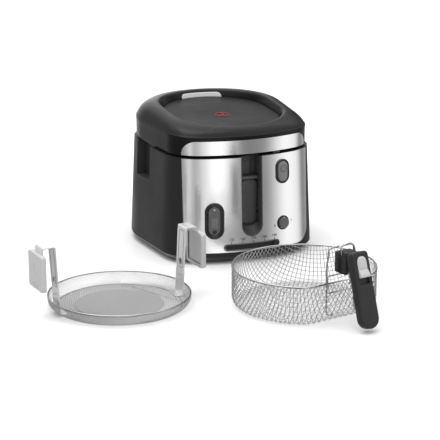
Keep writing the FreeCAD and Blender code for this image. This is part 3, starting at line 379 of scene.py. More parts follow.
def plan(inset=0.0, blend=0.0, fine=1):
    """The rounded plan as a loop of points, moved in by inset, from the casing's to the disc's."""
    front_y, front_r, corner_x, corner_r, rear_y, rear_r = (
        a * (1 - blend) + b * blend for a, b in zip(CASE_PLAN, DISC_PLAN))
    front_c = front_y + front_r
    between = front_r - corner_r
    corner_y = front_c - math.sqrt(between ** 2 - corner_x ** 2)
    lean = math.asin(corner_x / between)
    rise = corner_y - rear_y
    side = math.acos((rear_r - corner_r) / math.hypot(corner_x, rise)) + math.atan2(rise, corner_x)
    down = -math.pi / 2
    arcs = (
        (0, front_c, front_r, down, down + lean, 14),
        (corner_x, corner_y, corner_r, down + lean, side, 22),
        (0, rear_y, rear_r, side, math.pi / 2, 34),
    )
    half = []
    for x, y, radius, first, last, steps in arcs:
        for turn in spread(first, last, steps * fine + 1):
            half.append((x + (radius - inset) * math.cos(turn), y + (radius - inset) * math.sin(turn)))
    return half + [(-x, y) for x, y in reversed(half[1:-1])]


def front_at(x, inset=0.0):
    """Depth of the casing's front at x."""
    front_y, front_r, corner_x, corner_r = CASE_PLAN[:4]
    front_c = front_y + front_r
    between = front_r - corner_r
    corner_y = front_c - math.sqrt(between ** 2 - corner_x ** 2)
    if abs(x) <= corner_x * (front_r - inset) / between:
        return front_c - math.sqrt((front_r - inset) ** 2 - x ** 2)
    return corner_y - math.sqrt(max((corner_r - inset) ** 2 - (abs(x) - corner_x) ** 2, 0))


def spread_at(z):
    """How far the casing stands out at a height, over its plan at the seam."""
    return FLARE * (1 - z / SEAM_LOW)


def on_front(angle, level):
    """Maps across, up and out from a spot on the front arc to the fryer's frame."""
    turn = Matrix.Rotation(math.radians(angle), 4, "Z")
    centre = Vector((0, CASE_PLAN[0] + CASE_PLAN[1], 0))

    def place(u, v, w):
        reach = CASE_PLAN[1] + spread_at(level + v) + w
        return centre + turn @ Vector((u, -math.sqrt(reach ** 2 - u ** 2), level + v))
    return place


def at_height(points, z):
    return [(x, y, z) for x, y in points]


# ---------------------------------------------------------------- lid

# Level over the bowl's axis, slope towards the rear, and bend.
CREST = (243.55, 0.06537, 0.0003197)
DISC = (230.4, 0.0466)


def crest_at(y):
    """Height of the ring around the disc, which bends down towards the front."""
    level, slope, bend = CREST
    return level + slope * y - bend * y ** 2


def disc_at(y):
    """Height of the sunk disc, which slopes down towards the front."""
    level, slope = DISC
    return level + slope * y


def on_disc(inset, lift):
    """The disc's outline, moved in by inset and lifted off the disc."""
    return [(x, y, disc_at(y) + lift) for x, y in plan(inset, 1.0)]


def lid_loops(thickness):
    """Loops of the lid's outside, or of its inside when thickness is more than 0."""
    loops = []
    rounding = 1.6
    if not thickness:
        loops.append(at_height(plan(LID_INSET + rounding), SEAM_HIGH))
        loops.append(at_height(plan(LID_INSET + rounding * 0.3), SEAM_HIGH + rounding * 0.3))
    for z in spread(SEAM_HIGH + rounding, SHOULDER - 3, 5):
        loops.append(at_height(plan(LID_INSET + thickness), z))
    steps = 22
    for k in range(steps + 1):
        blend = (k / steps) ** 1.6
        rise = math.sqrt(1 - (1 - blend) ** 2)
        inset = LID_INSET * (1 - blend) - RING_WIDTH * blend + thickness
        crease = 1.2 * math.exp(-((blend - 0.02) / 0.02) ** 2)
        loops.append([(x, y, SHOULDER + (crest_at(y) - SHOULDER) * rise - thickness * blend)
                      for x, y in plan(inset - crease * (not thickness), blend)])
    return loops


outer = lid_loops(0)
well = [[(x, y, disc_at(y) + (crest_at(y) - disc_at(y)) * part) for x, y in plan(inset, 1.0)]
        for inset, part in ((-7.6, 0.985), (-6.0, 0.92), (-4.6, 0.8), (-3.2, 0.6), (-2.0, 0.38),
                            (-1.0, 0.2), (-0.2, 0.03))]
roof = [on_disc(inset, -3.2) for inset in (0, 12, 40)]
inner = [on_disc(inset, -6.5) for inset in (40, 12, -3)]
inner += list(reversed(lid_loops(3.0)))[1:]
inner.append(at_height(plan(LID_INSET + 3.0), SEAM_HIGH))
lid_faces = skinned(outer + well + roof, high_cap=True)
inner_faces = skinned(inner, low_cap=True)
brim = skinned([inner[-1], outer[0]])
piece("lid_dome", Shape(lid_faces, inner_faces, brim), "lid_plastic", "lid", FRYER, ("lid_shell",))

cover_profile = ((0.5, -3.0), (0.5, -0.7), (0.8, -0.2), (1.4, 0), (4, 0.1), (20, 0.4), (45, 0.7))
piece("lid_cover", Shape(skinned([on_disc(inset, lift) for inset, lift in cover_profile],
                                 low_cap=True, high_cap=True)),
      "lid_disc_plastic", "cover", FRYER, ("filter_cover",))

# Section of the tab: inset from the disc's edge, share of the rise from disc to ring, and lift.
TAB_MIDDLE, TAB_HALF = 6, 36.5
TAB_SECTION = ((1.0, 0, -2.2), (1.0, 0, 0.2), (0.4, 0, 1.2), (-1.4, 0.34, 0.9), (-2.4, 0.47, 1.0),
               (-3.4, 0.55, 0.8), (-4.0, 0.55, 0.2), (-4.0, 0.5, -1.0), (-1.0, 0, -2.2))
rear_y, rear_r = DISC_PLAN[4], DISC_PLAN[5]
tab_loops = []
for x in spread(-TAB_HALF, TAB_HALF, 25):
    squeeze = 1 - 0.35 * max(0, abs(x) / TAB_HALF - 0.9) / 0.1
    loop = []
    for inset, share, lift in TAB_SECTION:
        inset = 1.5 + (inset - 1.5) * squeeze
        y = rear_y + math.sqrt((rear_r - inset) ** 2 - (x + TAB_MIDDLE) ** 2)
        foot = disc_at(y) - 2.2
        level = disc_at(y) + (crest_at(y) - disc_at(y)) * share + lift
        loop.append((x + TAB_MIDDLE, y, foot + (level - foot) * squeeze))
    tab_loops.append(loop)
piece("lid_tab", Shape(skinned(tab_loops, low_cap=True, high_cap=True)), "grey_plastic", "cover_catch",
      FRYER, ("cover_latch",), crease=50)


def column_sheet(xs, low, high, out, rows=22):
    """A sheet on the casing's front between two edges given by x, with turned-back borders."""
    loops = []
    for x in xs:
        bottom, top = low(x), high(x)
        levels = spread(bottom, top, rows)
        face = [(x, front_at(x, out(z) - SKIN), z) for z in levels]
        start = (x, front_at(x, out(bottom)), bottom - 0.25)
        end = (x, front_at(x, out(top)), top + 0.25)
        loops.append([start] + face + [end])
    first = [(x - 0.25 * math.copysign(1, xs[-1] - xs[0]), y + SKIN, z) for x, y, z in loops[0]]
    last = [(x + 0.25 * math.copysign(1, xs[-1] - xs[0]), y + SKIN, z) for x, y, z in loops[-1]]
    return skinned([first] + loops + [last], closed=False)


def round_steps(edge, radius, sign, count=9):
    """x values that gather towards an edge, for a corner of that radius."""
    return [sign * (edge - radius + radius * math.sin(t)) for t in spread(0, math.pi / 2 * 0.995, count)]


def panel_low(x):
    over = max(abs(x) - (PANEL_HALF - PANEL_CORNER), 0)
    return PANEL_LOW + PANEL_CORNER - math.sqrt(max(PANEL_CORNER ** 2 - over ** 2, 0))


def panel_top(x):
    return SEAM_LOW - 0.4


def channel_low(x):
    middle = CHANNEL_LOW + CHANNEL_HALF
    return middle - math.sqrt(max(CHANNEL_HALF ** 2 - x ** 2, 0))


def casing_out(z):
    return -spread_at(z)


left_xs = list(reversed(round_steps(PANEL_HALF, PANEL_CORNER, -1)))
left_xs += spread(-PANEL_HALF + PANEL_CORNER, -CHANNEL_HALF, 30)[1:]
middle_xs = [CHANNEL_HALF * math.sin(t) for t in spread(-math.pi / 2, math.pi / 2, 25)]
panel = Shape(
    column_sheet(left_xs, panel_low, panel_top, casing_out),
    column_sheet([-x for x in reversed(left_xs)], panel_low, panel_top, casing_out),
    column_sheet(middle_xs, panel_low, channel_low, casing_out, rows=8),
)
piece("steel_panel", panel, "satin_steel", "fryer", FRYER, ("front_panel",), crease=40)


def band_low(x):
    return BAND_LOW


def band_top(x):
    over = max(abs(x) - (BAND_HALF - BAND_CORNER), 0)
    return BAND_HIGH - BAND_CORNER + math.sqrt(max(BAND_CORNER ** 2 - over ** 2, 0))


def lid_in(z):
    return LID_INSET


band_xs = list(reversed(round_steps(BAND_HALF, BAND_CORNER, -1, 14)))
band_xs += spread(-BAND_HALF + BAND_CORNER, BAND_HALF - BAND_CORNER, 60)[1:]
band_xs += round_steps(BAND_HALF, BAND_CORNER, 1, 14)[1:]
piece("steel_band", Shape(column_sheet(band_xs, band_low, band_top, lid_in, rows=8)), "satin_steel", "lid",
      FRYER, ("lid_band",), crease=40)


# ---------------------------------------------------------------- channel for the handle

def channel_outline(inset, top=SEAM_LOW - 1):
    """The channel's outline seen from the front, from its top left round to its top right."""
    half = CHANNEL_HALF - inset
    middle = CHANNEL_LOW + CHANNEL_HALF
    left = [(-half, z) for z in spread(top, middle, 12)]
    arc = [(-half * math.cos(t), middle - half * math.sin(t)) for t in spread(0, math.pi, 19)[1:-1]]
    return left + arc + [(-x, z) for x, z in reversed(left)]


def scooped(x, z, rise):
    """Raises the round lower end by up to rise, so that the channel's floor slopes outwards."""
    middle = CHANNEL_LOW + CHANNEL_HALF
    return x, z + rise * max(middle - z, 0) / CHANNEL_HALF


def channel_loop(inset, depth, rise=0.0):
    """The outline at a depth behind the casing's front."""
    outlined = [scooped(x, z, rise) for x, z in channel_outline(inset)]
    return [(x, min(front_at(x, casing_out(z)) + depth, CHANNEL_BACK), z) for x, z in outlined]


channel_walls = [channel_loop(*step) for step in
                 ((-2.0, 0.2), (-1.2, -0.6), (-0.1, -1.3), (0.7, -1.2), (1.2, -0.4), (1.4, 2, 0.6),
                  (1.6, 8, 4), (1.8, 16, 10), (1.8, 22, 16))]
back_loop = [(x, CHANNEL_BACK, z) for x, z in (scooped(x, z, 19) for x, z in channel_outline(1.9))]
channel = Shape(skinned(channel_walls + [back_loop], closed=False))
channel.add(([Vector(point) for point in back_loop], [tuple(range(len(back_loop)))]))


def channel_place(level, depth):
    """Maps across, up and out to the channel's back, where depth is its y."""
    return lambda u, v, w: (u, depth - w, level + v)


STRIP_LEVEL, STRIP_ASIDE = 101, 0.9
strip = channel_place(STRIP_LEVEL, CHANNEL_BACK)
channel.add(pad(lambda u, v, w: strip(u + STRIP_ASIDE, v, w), 15.4, 41, 12,
                ((0, 0), (0, 12), (0.7, 14), (2, 15.2), (4.5, 16), (8, 16.5), (12, 16.7))))
channel.add(block((-17, CHANNEL_BACK - 20, 140), (17, CHANNEL_BACK + 1, 146), 2.8))
channel.add(block((5.5, CHANNEL_BACK - 6, 146), (7.5, CHANNEL_BACK + 1, SEAM_LOW - 2), 0.8))
channel.add(block((-17, CHANNEL_BACK - 9, 146), (5.5, CHANNEL_BACK + 1, SEAM_LOW - 2), 2.0))
# The channel is drawn in the lighter plastic, which is painted light in the recess.
piece("channel_tub", channel, "channel_painted_light_plastic", "fryer", FRYER, ("handle_channel",), crease=40)


# ---------------------------------------------------------------- controls

def stadium_ring(place, half_u, half_v, hole_u, hole_v, height, runs=0):
    """A raised rim between two rounded outlines, with a soft step down to the hole."""
    width = half_u - hole_u
    drop = (half_v - hole_v) - width
    section = ((0, -3), (0, height * 0.6), (0.12, height * 0.9), (0.3, height), (0.55, height * 0.95),
               (0.75, height * 0.72), (0.92, height * 0.6), (1.0, height * 0.5), (1.0, -3))
    loops = []
    for part, w in section:
        edge = outline(half_u, half_v - drop * part, half_u, width * part, runs=runs)
        loops.append([place(u, v, w) for u, v in edge])
    return skinned(loops, wrap=True)


timer = on_front(TIMER_ANGLE, 76)
piece("timer_rim", Shape(stadium_ring(timer, 16.6, 31.4, 9.9, 24.3, 3.2)), "gloss_black", "fryer", FRYER,
      ("timer_bezel",))
face = Shape(pad(timer, 9.9, 24.3, 9.9, ((0, -3), (0, 1.2), (0.5, 1.5), (1.2, 1.65), (5, 1.75), (9, 1.75))))
piece("timer_plate", face, "control_plastic", "fryer", FRYER, ("timer_face",))
display = on_front(TIMER_ANGLE, 72)
piece("timer_display", Shape(pad(display, 6.2, 8.4, 1.2, ((0, 0), (0, 1.8), (0.4, 2.1), (1.4, 2.1)))),
      "display_glass", "fryer", FRYER, ("display_window",))
# A small white disc near the top of the timer, drawn where a white dot shows.
dot_spot = on_front(TIMER_ANGLE, 95)
piece("timer_dot", Shape(disc(dot_spot, 1.1, 1.2, 2.1)), "timer_dot_white", "fryer", FRYER)
key = on_front(TIMER_ANGLE, 57.5)
piece("timer_key", Shape(pad(key, 3.3, 3.3, 3.3, ((0, -3), (0, 3.2), (0.5, 3.7), (1.6, 3.5), (3, 3.3)))),
      "gloss_black", "timer_key", FRYER, ("timer_button",))

release = on_front(RELEASE_ANGLE, 151)
piece("release_rim", Shape(stadium_ring(release, 13.4, 21.1, 9.9, 17.6, 3.8)), "gloss_black", "fryer", FRYER,
      ("release_bezel",))
button = Shape(pad(release, 9.7, 17.4, 9.7, ((0, -4), (0, 3.3), (0.7, 4.2), (2, 4.7), (5, 5.0), (9, 5.1))))
dimple = on_front(RELEASE_ANGLE, 156)
piece("release_key", button, "button_plastic", "release_key", FRYER, ("release_button",))
# Painted shade: a darker raised ring on the lighter button marks the edge of its dimple.
piece("release_dimple", Shape(frame_ring(dimple, 6.4, 6.4, 6.4, ((0, 4.3), (0.2, 5.5), (0.9, 5.7), (1.3, 5.4),
                                                                 (1.3, 4.3)))),
      "control_plastic", "release_key", FRYER)

dial = on_front(RELEASE_ANGLE, 61.5)
piece("dial_rim", Shape(frame_ring(dial, 12.4, 12.4, 12.4, ((0, -2), (0, 1.3), (0.5, 1.9), (1.4, 2.1),
                                                           (2.2, 1.8), (2.8, 1.3), (2.8, -2)))),
      "gloss_black", "fryer", FRYER, ("dial_bezel",))
knob = Shape(pad(dial, 9.2, 9.2, 9.2, ((0, -2), (0, 5.2), (0.4, 6.2), (1.2, 6.6), (4, 6.4), (8, 6.2)), 12))
knob.add(pad(lambda u, v, w: dial(u, v + 5, w), 0.8, 2.4, 0.8, ((0, 5.5), (0, 6.8), (0.4, 7.0))))
piece("dial_knob", knob, "control_plastic", "dial", FRYER, ("selector_dial",))

SLOT_LEVEL, SLOT_HALF, SLOT_HALF_HEIGHT = 28.8, 48.9, 4.0
slot = on_front(0, SLOT_LEVEL)
piece("slider_rim", Shape(stadium_ring(slot, SLOT_HALF + 2.3, SLOT_HALF_HEIGHT + 2.3, SLOT_HALF,
                                       SLOT_HALF_HEIGHT, 2.7, runs=30)),
      "control_plastic", "fryer", FRYER, ("slider_bezel",))
# Painted shade: a flat near-black plate fills the slot, standing in for the dark of its opening.
slot_columns = []
for u in spread(-SLOT_HALF + 0.05, SLOT_HALF - 0.05, 41):
    over = max(abs(u) - SLOT_HALF + SLOT_HALF_HEIGHT, 0)
    reach = math.sqrt(SLOT_HALF_HEIGHT ** 2 - over ** 2)
    slot_columns.append([slot(u, v, w) for v, w in ((-reach, -2), (-reach, 1.2), (reach, 1.2), (reach, -2))])
piece("slider_slot", Shape(skinned(slot_columns, low_cap=True, high_cap=True)), "slot_painted_shade_black", "fryer", FRYER)
SLIDER_ANGLE = 9.2
cap = on_front(SLIDER_ANGLE, SLOT_LEVEL)
slider = Shape(pad(cap, 1.9, 3.6, 0.8, ((0, 0.5), (0, 3.5))))
slider.add(pad(cap, 5.4, 5.4, 5.4, ((0, 2.9), (0, 4.7), (0.6, 5.6), (1.6, 5.8), (3.5, 5.2), (5.0, 5.0))))
piece("slider_knob", slider, "black_plastic", "slider", FRYER, ("temperature_slider",))

marks = Shape()
for step, angle in enumerate(spread(-8.1, 8.9, 5)):
    spot = on_front(angle, 42)
    marks.add(lettering(str(150 + 10 * step), 6.4, lambda u, v, w: spot(u, v, SKIN + 0.2 + w)))
    tick = on_front(angle, 36.5)
    marks.add(pad(lambda u, v, w: tick(u, v, SKIN + w), 0.5, 1.9, 0.2, ((0, 0.0), (0, 0.3))))
for u, v, text in ((-17, -3.5, "0"), (17.5, 1.5, "1")):
    marks.add(lettering(text, 6.4, lambda a, b, w, u=u, v=v: dial(u + a, v + b, SKIN + 0.2 + w)))
piece("panel_print", marks, "dark_print_and_painted_shade", "fryer", FRYER)


SIGN_X, SIGN_Y, SIGN_RADIUS = -4.5, -32, 11.5
sign = Shape()
ring = [(SIGN_X + SIGN_RADIUS * math.cos(t), SIGN_Y + SIGN_RADIUS * math.sin(t))
        for t in spread(0, 2 * math.pi, 41)[:-1]]
sign.add(tube([(x, y, disc_at(y) + 1.1) for x, y in ring], 0.75, 6, closed=True))
sign.add(disc(lambda u, v, w: (SIGN_X + u, SIGN_Y + v, disc_at(SIGN_Y) + w), 2.6, 0.5, 1.5))
piece("heat_sign", sign, "red_print", "cover", FRYER)


# ---------------------------------------------------------------- woven wire

def basket_edge(angle):
    """Distance of the basket's wall from its middle, in a direction."""
    toward_flat = -math.sin(angle)
    sharpness = 60
    round_part = BASKET_RADIUS ** -sharpness
    flat_part = (BASKET_CHORD / toward_flat) ** -sharpness if toward_flat > 0.2 else 0.0
    return (round_part + flat_part) ** (-1 / sharpness)


def sieve_edge(angle):
    return SIEVE_RADIUS


def draped(u, v, edge, corner, lift):
    """A spot of a flat woven sheet once it is pressed into a dish, with its height."""
    run, angle = math.hypot(u, v), math.atan2(v, u)
    reach = edge(angle)
    floor = reach - corner
    if run < floor:
        out, up, lean = run, 0, 0
    elif run < floor + corner * math.pi / 2:
        lean = (run - floor) / corner
        out, up = floor + corner * math.sin(lean), corner * (1 - math.cos(lean))
    else:
        lean = math.pi / 2
        out, up = reach, corner + run - floor - corner * math.pi / 2
    out -= math.sin(lean) * lift
    up += math.cos(lean) * lift
    return Vector((out * math.cos(angle), out * math.sin(angle), up))


def woven(edge, corner, top, pitch, wire, base, turn, sides, reach=None, step=2):
    """Two families of wires that pass over and under each other, pressed into a dish."""
    shape = Shape()
    limit = int(190 / pitch)
    swing = wire * 0.95
    rotate = Matrix.Rotation(math.radians(turn), 4, "Z")
    tilt = math.radians(turn)
    for family in (0, 1):
        for i in range(-limit, limit + 1):
            path = []
            for k in range(-limit * step, limit * step + 1):
                across, along = i * pitch, k * pitch / step
                if reach and math.hypot(across, along) > reach:
                    continue
                lift = swing * math.cos(math.pi * along / pitch) * (-1) ** (i + family)
                u, v = (across, along) if family == 0 else (along, across)
                spot = draped(u, v, lambda a: edge(a + tilt), corner, lift)
                if spot.z <= top:
                    path.append(rotate @ spot + Vector((0, 0, base)))
            if len(path) > 3:
                shape.add(tube(path, wire, sides))
    return shape


WEAVE_TURN = 45
basket_wire = 0.5
piece("basket_weave", woven(basket_edge, 13, BASKET_TOP - 1.5, 7.2, basket_wire, 1.1, WEAVE_TURN, 5),
      "wire_mesh", "basket", BASKET, ("basket_mesh",), crease=80)
rim_path = [(basket_edge(t) * math.cos(t), basket_edge(t) * math.sin(t), BASKET_TOP)
            for t in spread(0, 2 * math.pi, 181)[:-1]]
rim = Shape(tube(rim_path, 1.35, 10, closed=True))
piece("basket_hoop", rim, "rim_steel", "basket", BASKET, ("basket_rim",), crease=80)

wires = Shape()
LEG_Y = -BASKET_CHORD + 3.4
for side in (-1, 1):
    leg = bent(((side * 4, LEG_Y, 117), (side * 23.5, LEG_Y, 115.5), (side * 24.5, LEG_Y, 100),
                (side * 26.5, LEG_Y, 92), (side * 26.5, LEG_Y, 15), (side * 26.5, LEG_Y - 8.5, 13.5),
                (side * 21, LEG_Y - 9, 14.5)), 5)
    wires.add(tube(leg, 1.3, 8))
bar = bent(((-29, -BASKET_CHORD + 2, 47), (-28.5, -BASKET_CHORD - 2.5, 48), (28.5, -BASKET_CHORD - 2.5, 48),
            (29, -BASKET_CHORD + 2, 47)), 3)
wires.add(tube(bar, 1.1, 8))
loop = bent(((-21, LEG_Y + 3, 52), (-21, LEG_Y + 5, 66), (-19, LEG_Y + 6, 70), (19, LEG_Y + 6, 70),
             (21, LEG_Y + 5, 66), (21, LEG_Y + 3, 52)), 4)
wires.add(tube(loop, 1.1, 8))
arch = bent(((-12, -108, 108), (-12, -106, 120), (-7, -98, 117), (2, -95, 118), (10, -101, 123),
             (12.5, -107, 119), (12.5, -109, 108)), 6)
wires.add(tube(arch, 1.15, 8))
piece("basket_wires", wires, "rim_steel", "basket", BASKET, ("basket_frame",), crease=80)

bracket = Shape(
    block((-11, -110, 77), (13, -88, 110), 3),
    block((-11, -116, 100), (13, -96, 113), 4),
    block((-11, -116, 78), (-5, -96, 104), 2),
    block((6.5, -116, 78), (13, -96, 104), 2),
    block((-7, -130, 99.5), (7, -108, 110), 4),
    block((-6, -114, 80), (6, -98, 95), 5),
)
piece("handle_clip", bracket, "handle_plastic", "basket", BASKET, ("handle_bracket",), crease=40)


# ---------------------------------------------------------------- basket handle

HEAD_TOP, TIP_LOW = 12, -104.4
WINDOW_TOP, WINDOW_LOW, WINDOW_HALF = 4.3, -37.3, 8.8


def handle_outline(inset, steps=10):
    """Outline of the handle seen from outside: a head with small corners and a round tip."""
    def half(z):
        return 14.8 + 1.2 * min(max((HEAD_TOP - z) / 80, 0), 1) - inset
    radius = 6 - min(inset, 5)
    tip = half(TIP_LOW)
    points = []
    for t in spread(0, math.pi / 2, steps + 1):
        z = HEAD_TOP - inset - radius + radius * math.sin(t)
        points.append((half(z) - radius + radius * math.cos(t), z))
    mirrored = [(-x, z) for x, z in reversed(points)]
    middle = TIP_LOW + inset + tip
    low = [(-tip * math.cos(t), middle - tip * math.sin(t)) for t in spread(0, math.pi, 2 * steps + 2)]
    return points + mirrored + low


def window_outline(steps=10):
    """The opening for the catch, with as many points as the handle's outline."""
    radius = WINDOW_HALF
    middle = WINDOW_TOP - radius
    right = [(radius * math.cos(t), middle + radius * math.sin(t)) for t in spread(0, math.pi / 2, steps + 1)]
    left = [(-x, z) for x, z in reversed(right)]
    corner = 1.5
    turns = spread(0, math.pi / 2, steps + 1)
    low = [(-radius + corner - corner * math.cos(t), WINDOW_LOW + corner - corner * math.sin(t))
           for t in turns]
    return right + left + low + [(-x, z) for x, z in reversed(low)]


def handle_loop(inset, y):
    return [(x, y, z) for x, z in handle_outline(inset)]


shell = [handle_loop(inset, y) for inset, y in
         ((0.0, -1.9), (0.0, -5.2), (0.35, -6.6), (1.1, -7.6), (2.2, -8.0), (3.2, -8.1))]
shell += [[(x, y, z) for x, z in window_outline()] for y in (-8.1, -4.2)]
piece("handle_outer_shell", Shape(skinned(shell, low_cap=True, high_cap=True)), "handle_plastic", "handle",
      HANDLE, ("handle_front",), crease=35)
shell = [handle_loop(inset, y) for inset, y in
         ((0.6, -1.9), (0.6, -1.3), (0.0, -1.0), (0.0, 5.2), (0.35, 6.6), (1.1, 7.6), (2.4, 8.0), (8, 8.0))]
piece("handle_inner_shell", Shape(skinned(shell, low_cap=True, high_cap=True)), "handle_plastic", "handle",
      HANDLE, ("handle_back",), crease=35)

# Sections of the catch: height, half width and front, along a catch that is then shortened and raised.
CATCH_LENGTH, CATCH_RISE = 0.93, 1.6
catch_sections = ((4.0, 0.6, -6.0), (3.6, 2.6, -7.6), (2.6, 4.4, -8.8), (1.0, 6.0, -9.4), (-1.4, 7.4, -9.6),
                  (-5.0, 8.4, -9.6), (-14, 8.5, -9.4), (-17, 8.5, -9.2), (-17.6, 8.5, -8.8),
                  (-18.2, 8.5, -9.4), (-22, 8.7, -11.2), (-26, 8.9, -13.2), (-29, 9.0, -14.0),
                  (-30.4, 8.9, -13.2), (-31, 8.4, -11.0), (-31, 8.0, -7.0))
loops = []
for z, half, front in catch_sections:
    z = CATCH_LENGTH * z + CATCH_RISE
    depth = (-4.8 - front) / 2
    loops.append([(u, front + depth + v, z) for u, v in outline(half, max(depth, 0.3), 1.2, 0.0, 4)])
piece("catch_slider", Shape(skinned(loops, low_cap=True, high_cap=True)), "grey_plastic", "catch", HANDLE,
      ("handle_catch",), crease=50)

screws = Shape()
for z in (-40, -88):
    head = [[(r * math.cos(t), y, z + r * math.sin(t)) for t in spread(0, 2 * math.pi, 25)[:-1]]
            for r, y in ((2.2, 7.6), (2.2, 8.9), (1.8, 9.3), (1.1, 9.3), (0.9, 8.7))]
    screws.add(skinned(head, low_cap=True, high_cap=True))
piece("handle_screw_heads", screws, "inner_steel", "handle", HANDLE, ("handle_screws",))


# ---------------------------------------------------------------- oil filter

piece("filter_gauze", woven(sieve_edge, 14, SIEVE_TOP - 1.2, 2.5, 0.3, 0.7, 20, 4, step=1), "gauze",
      "oil_filter", FILTER, ("filter_mesh",), crease=80)
# A second, finer gauze in the middle of the floor. Its darker tone is painted shade.
piece("filter_gauze_middle", woven(sieve_edge, 6, 1.2, 1.6, 0.27, 1.5, 32, 4, reach=70, step=1), "gauze_painted_shade",
      "oil_filter", FILTER)
hoop = Shape()
for radius, z, wire in ((SIEVE_RADIUS, SIEVE_TOP, 1.3), (SIEVE_RADIUS - 14, 1.6, 0.45)):
    path = [(radius * math.cos(t), radius * math.sin(t), z) for t in spread(0, 2 * math.pi, 181)[:-1]]
    hoop.add(tube(path, wire, 8, closed=True))
piece("filter_hoop", hoop, "rim_steel", "oil_filter", FILTER, ("filter_rim",), crease=80)

GRIP_IN, GRIP_HALF, GRIP_LOW, GRIP_HIGH, GROOVE_INSET = 130.4, 27.5, 46, 103, 5.6
STRAP_X, HOOK_OUT, STRAP_TOP, STRAP_HALF, LEAN = 110.5, 20.8, 112, 15, 6.5


def strap_hole(wider):
    """Outline of the hole in a hanger."""
    turns = spread(0, 2 * math.pi, 21)[:-1]
    return [((3.8 + wider) * math.cos(t), 56 + (5 + wider) * math.sin(t)) for t in turns]


def strap(side):
    """A flat hanger: a riser with a stamped slot, then a fold over the top and down into the grip."""
    shape = Shape()

    def riser(u, v, w):
        return side * (STRAP_X - LEAN * (1 - v / STRAP_TOP)) + w, u, v
    low, high = 3.0, STRAP_TOP - 6
    edge = [(STRAP_HALF - 1, low), (STRAP_HALF - 1, 40), (STRAP_HALF - 2.5, 46), (STRAP_HALF - 1, 54),
            (STRAP_HALF, high)]
    body = edge + [(-u, v) for u, v in reversed(edge)]
    shape.add(flat_plate([body, strap_hole(0)], 1.2, 0.2, riser))
    radius = 5.0
    corners = ((side * STRAP_X, high), (side * STRAP_X, STRAP_TOP), (side * (STRAP_X + HOOK_OUT), STRAP_TOP),
               (side * (STRAP_X + HOOK_OUT), GRIP_HIGH - 6))
    path = bent([(x, 0, z) for x, z in corners], radius, 8)
    loops = []
    for i, spot in enumerate(path):
        along = (path[min(i + 1, len(path) - 1)] - path[max(i - 1, 0)]).normalized()
        normal = Vector((-along.z, 0, along.x))
        across = Vector((0, STRAP_HALF, 0))
        loops.append([spot + normal * 0.6 + across, spot + normal * 0.6 - across,
                      spot - normal * 0.6 - across, spot - normal * 0.6 + across])
    shape.add(skinned(loops, low_cap=True, high_cap=True))
    low_x = STRAP_X - LEAN
    foot = [(side * low_x, 0, 3.2), (side * (low_x - 1), 0, 2.2), (side * (low_x - 12), 0, 2.2)]
    loops = [[Vector(spot) + Vector((0, v, w)) for v, w in ((13, 0.5), (-13, 0.5), (-13, -0.5), (13, -0.5))]
             for spot in foot]
    shape.add(skinned(loops, low_cap=True, high_cap=True))
    return shape


def grip(side):
    """A plastic plate on the hanger: crowned outside, with a sunk panel inside."""
    middle = (GRIP_LOW + GRIP_HIGH) / 2
    half = (GRIP_HIGH - GRIP_LOW) / 2

    def place(u, v, w):
        return side * (GRIP_IN + w), u, middle + v
    shape = Shape()
    loops = [[place(u, v, w) for u, v in outline(GRIP_HALF, half, 5, inset)]
             for inset, w in ((6.5, 2.4), (GROOVE_INSET, 2.2), (5.2, 0.2), (4.6, 0.0), (1.2, 0.0), (0.3, 0.4),
                              (0.0, 1.4), (0.0, 6.8), (0.3, 7.8), (1.2, 8.4), (3, 8.5))]
    shape.add(skinned(loops, low_cap=True, high_cap=True))
    shape.add(frame_ring(lambda u, v, w: place(u, v - 21, w), 9, 4, 2,
                         ((0, 8.1), (0, 9.2), (0.5, 9.4), (1.2, 9.4), (1.6, 8.2))))
    drop = []
    for t in spread(0, 2 * math.pi, 25)[:-1]:
        reach = 5.2 * (1 - 0.35 * math.sin(t) ** 3)
        drop.append(place(reach * math.cos(t) * (1 - 0.35 * max(math.sin(t), 0)),
                          4 + 8.5 * math.sin(t), 8.5))
    shape.add(tube(drop, 0.6, 6, closed=True))
    return shape


def stamping(side):
    """The groove stamped around the slot of a hanger, on both of its faces."""
    shape = Shape()
    slot_edge = [(u, 76 + v) for u, v in outline(8, 30, 3, 0.0, 5)]
    for edge, wire in ((slot_edge, 0.6), (strap_hole(0.3), 0.8)):
        for face in (-1, 1):
            path = []
            for u, v in edge:
                path.append((side * (STRAP_X - LEAN * (1 - v / STRAP_TOP)) + face * 0.5, u, v))
            shape.add(tube(path, wire, 6, closed=True))
    return shape


def groove(side):
    """A dark line of painted shade in the crease around the sunk panel on the inside of a grip."""
    middle = (GRIP_LOW + GRIP_HIGH) / 2
    edge = outline(GRIP_HALF, (GRIP_HIGH - GRIP_LOW) / 2, 5, GROOVE_INSET)
    return Shape(tube([(side * (GRIP_IN + 1.9), u, middle + v) for u, v in edge], 0.7, 6, closed=True))


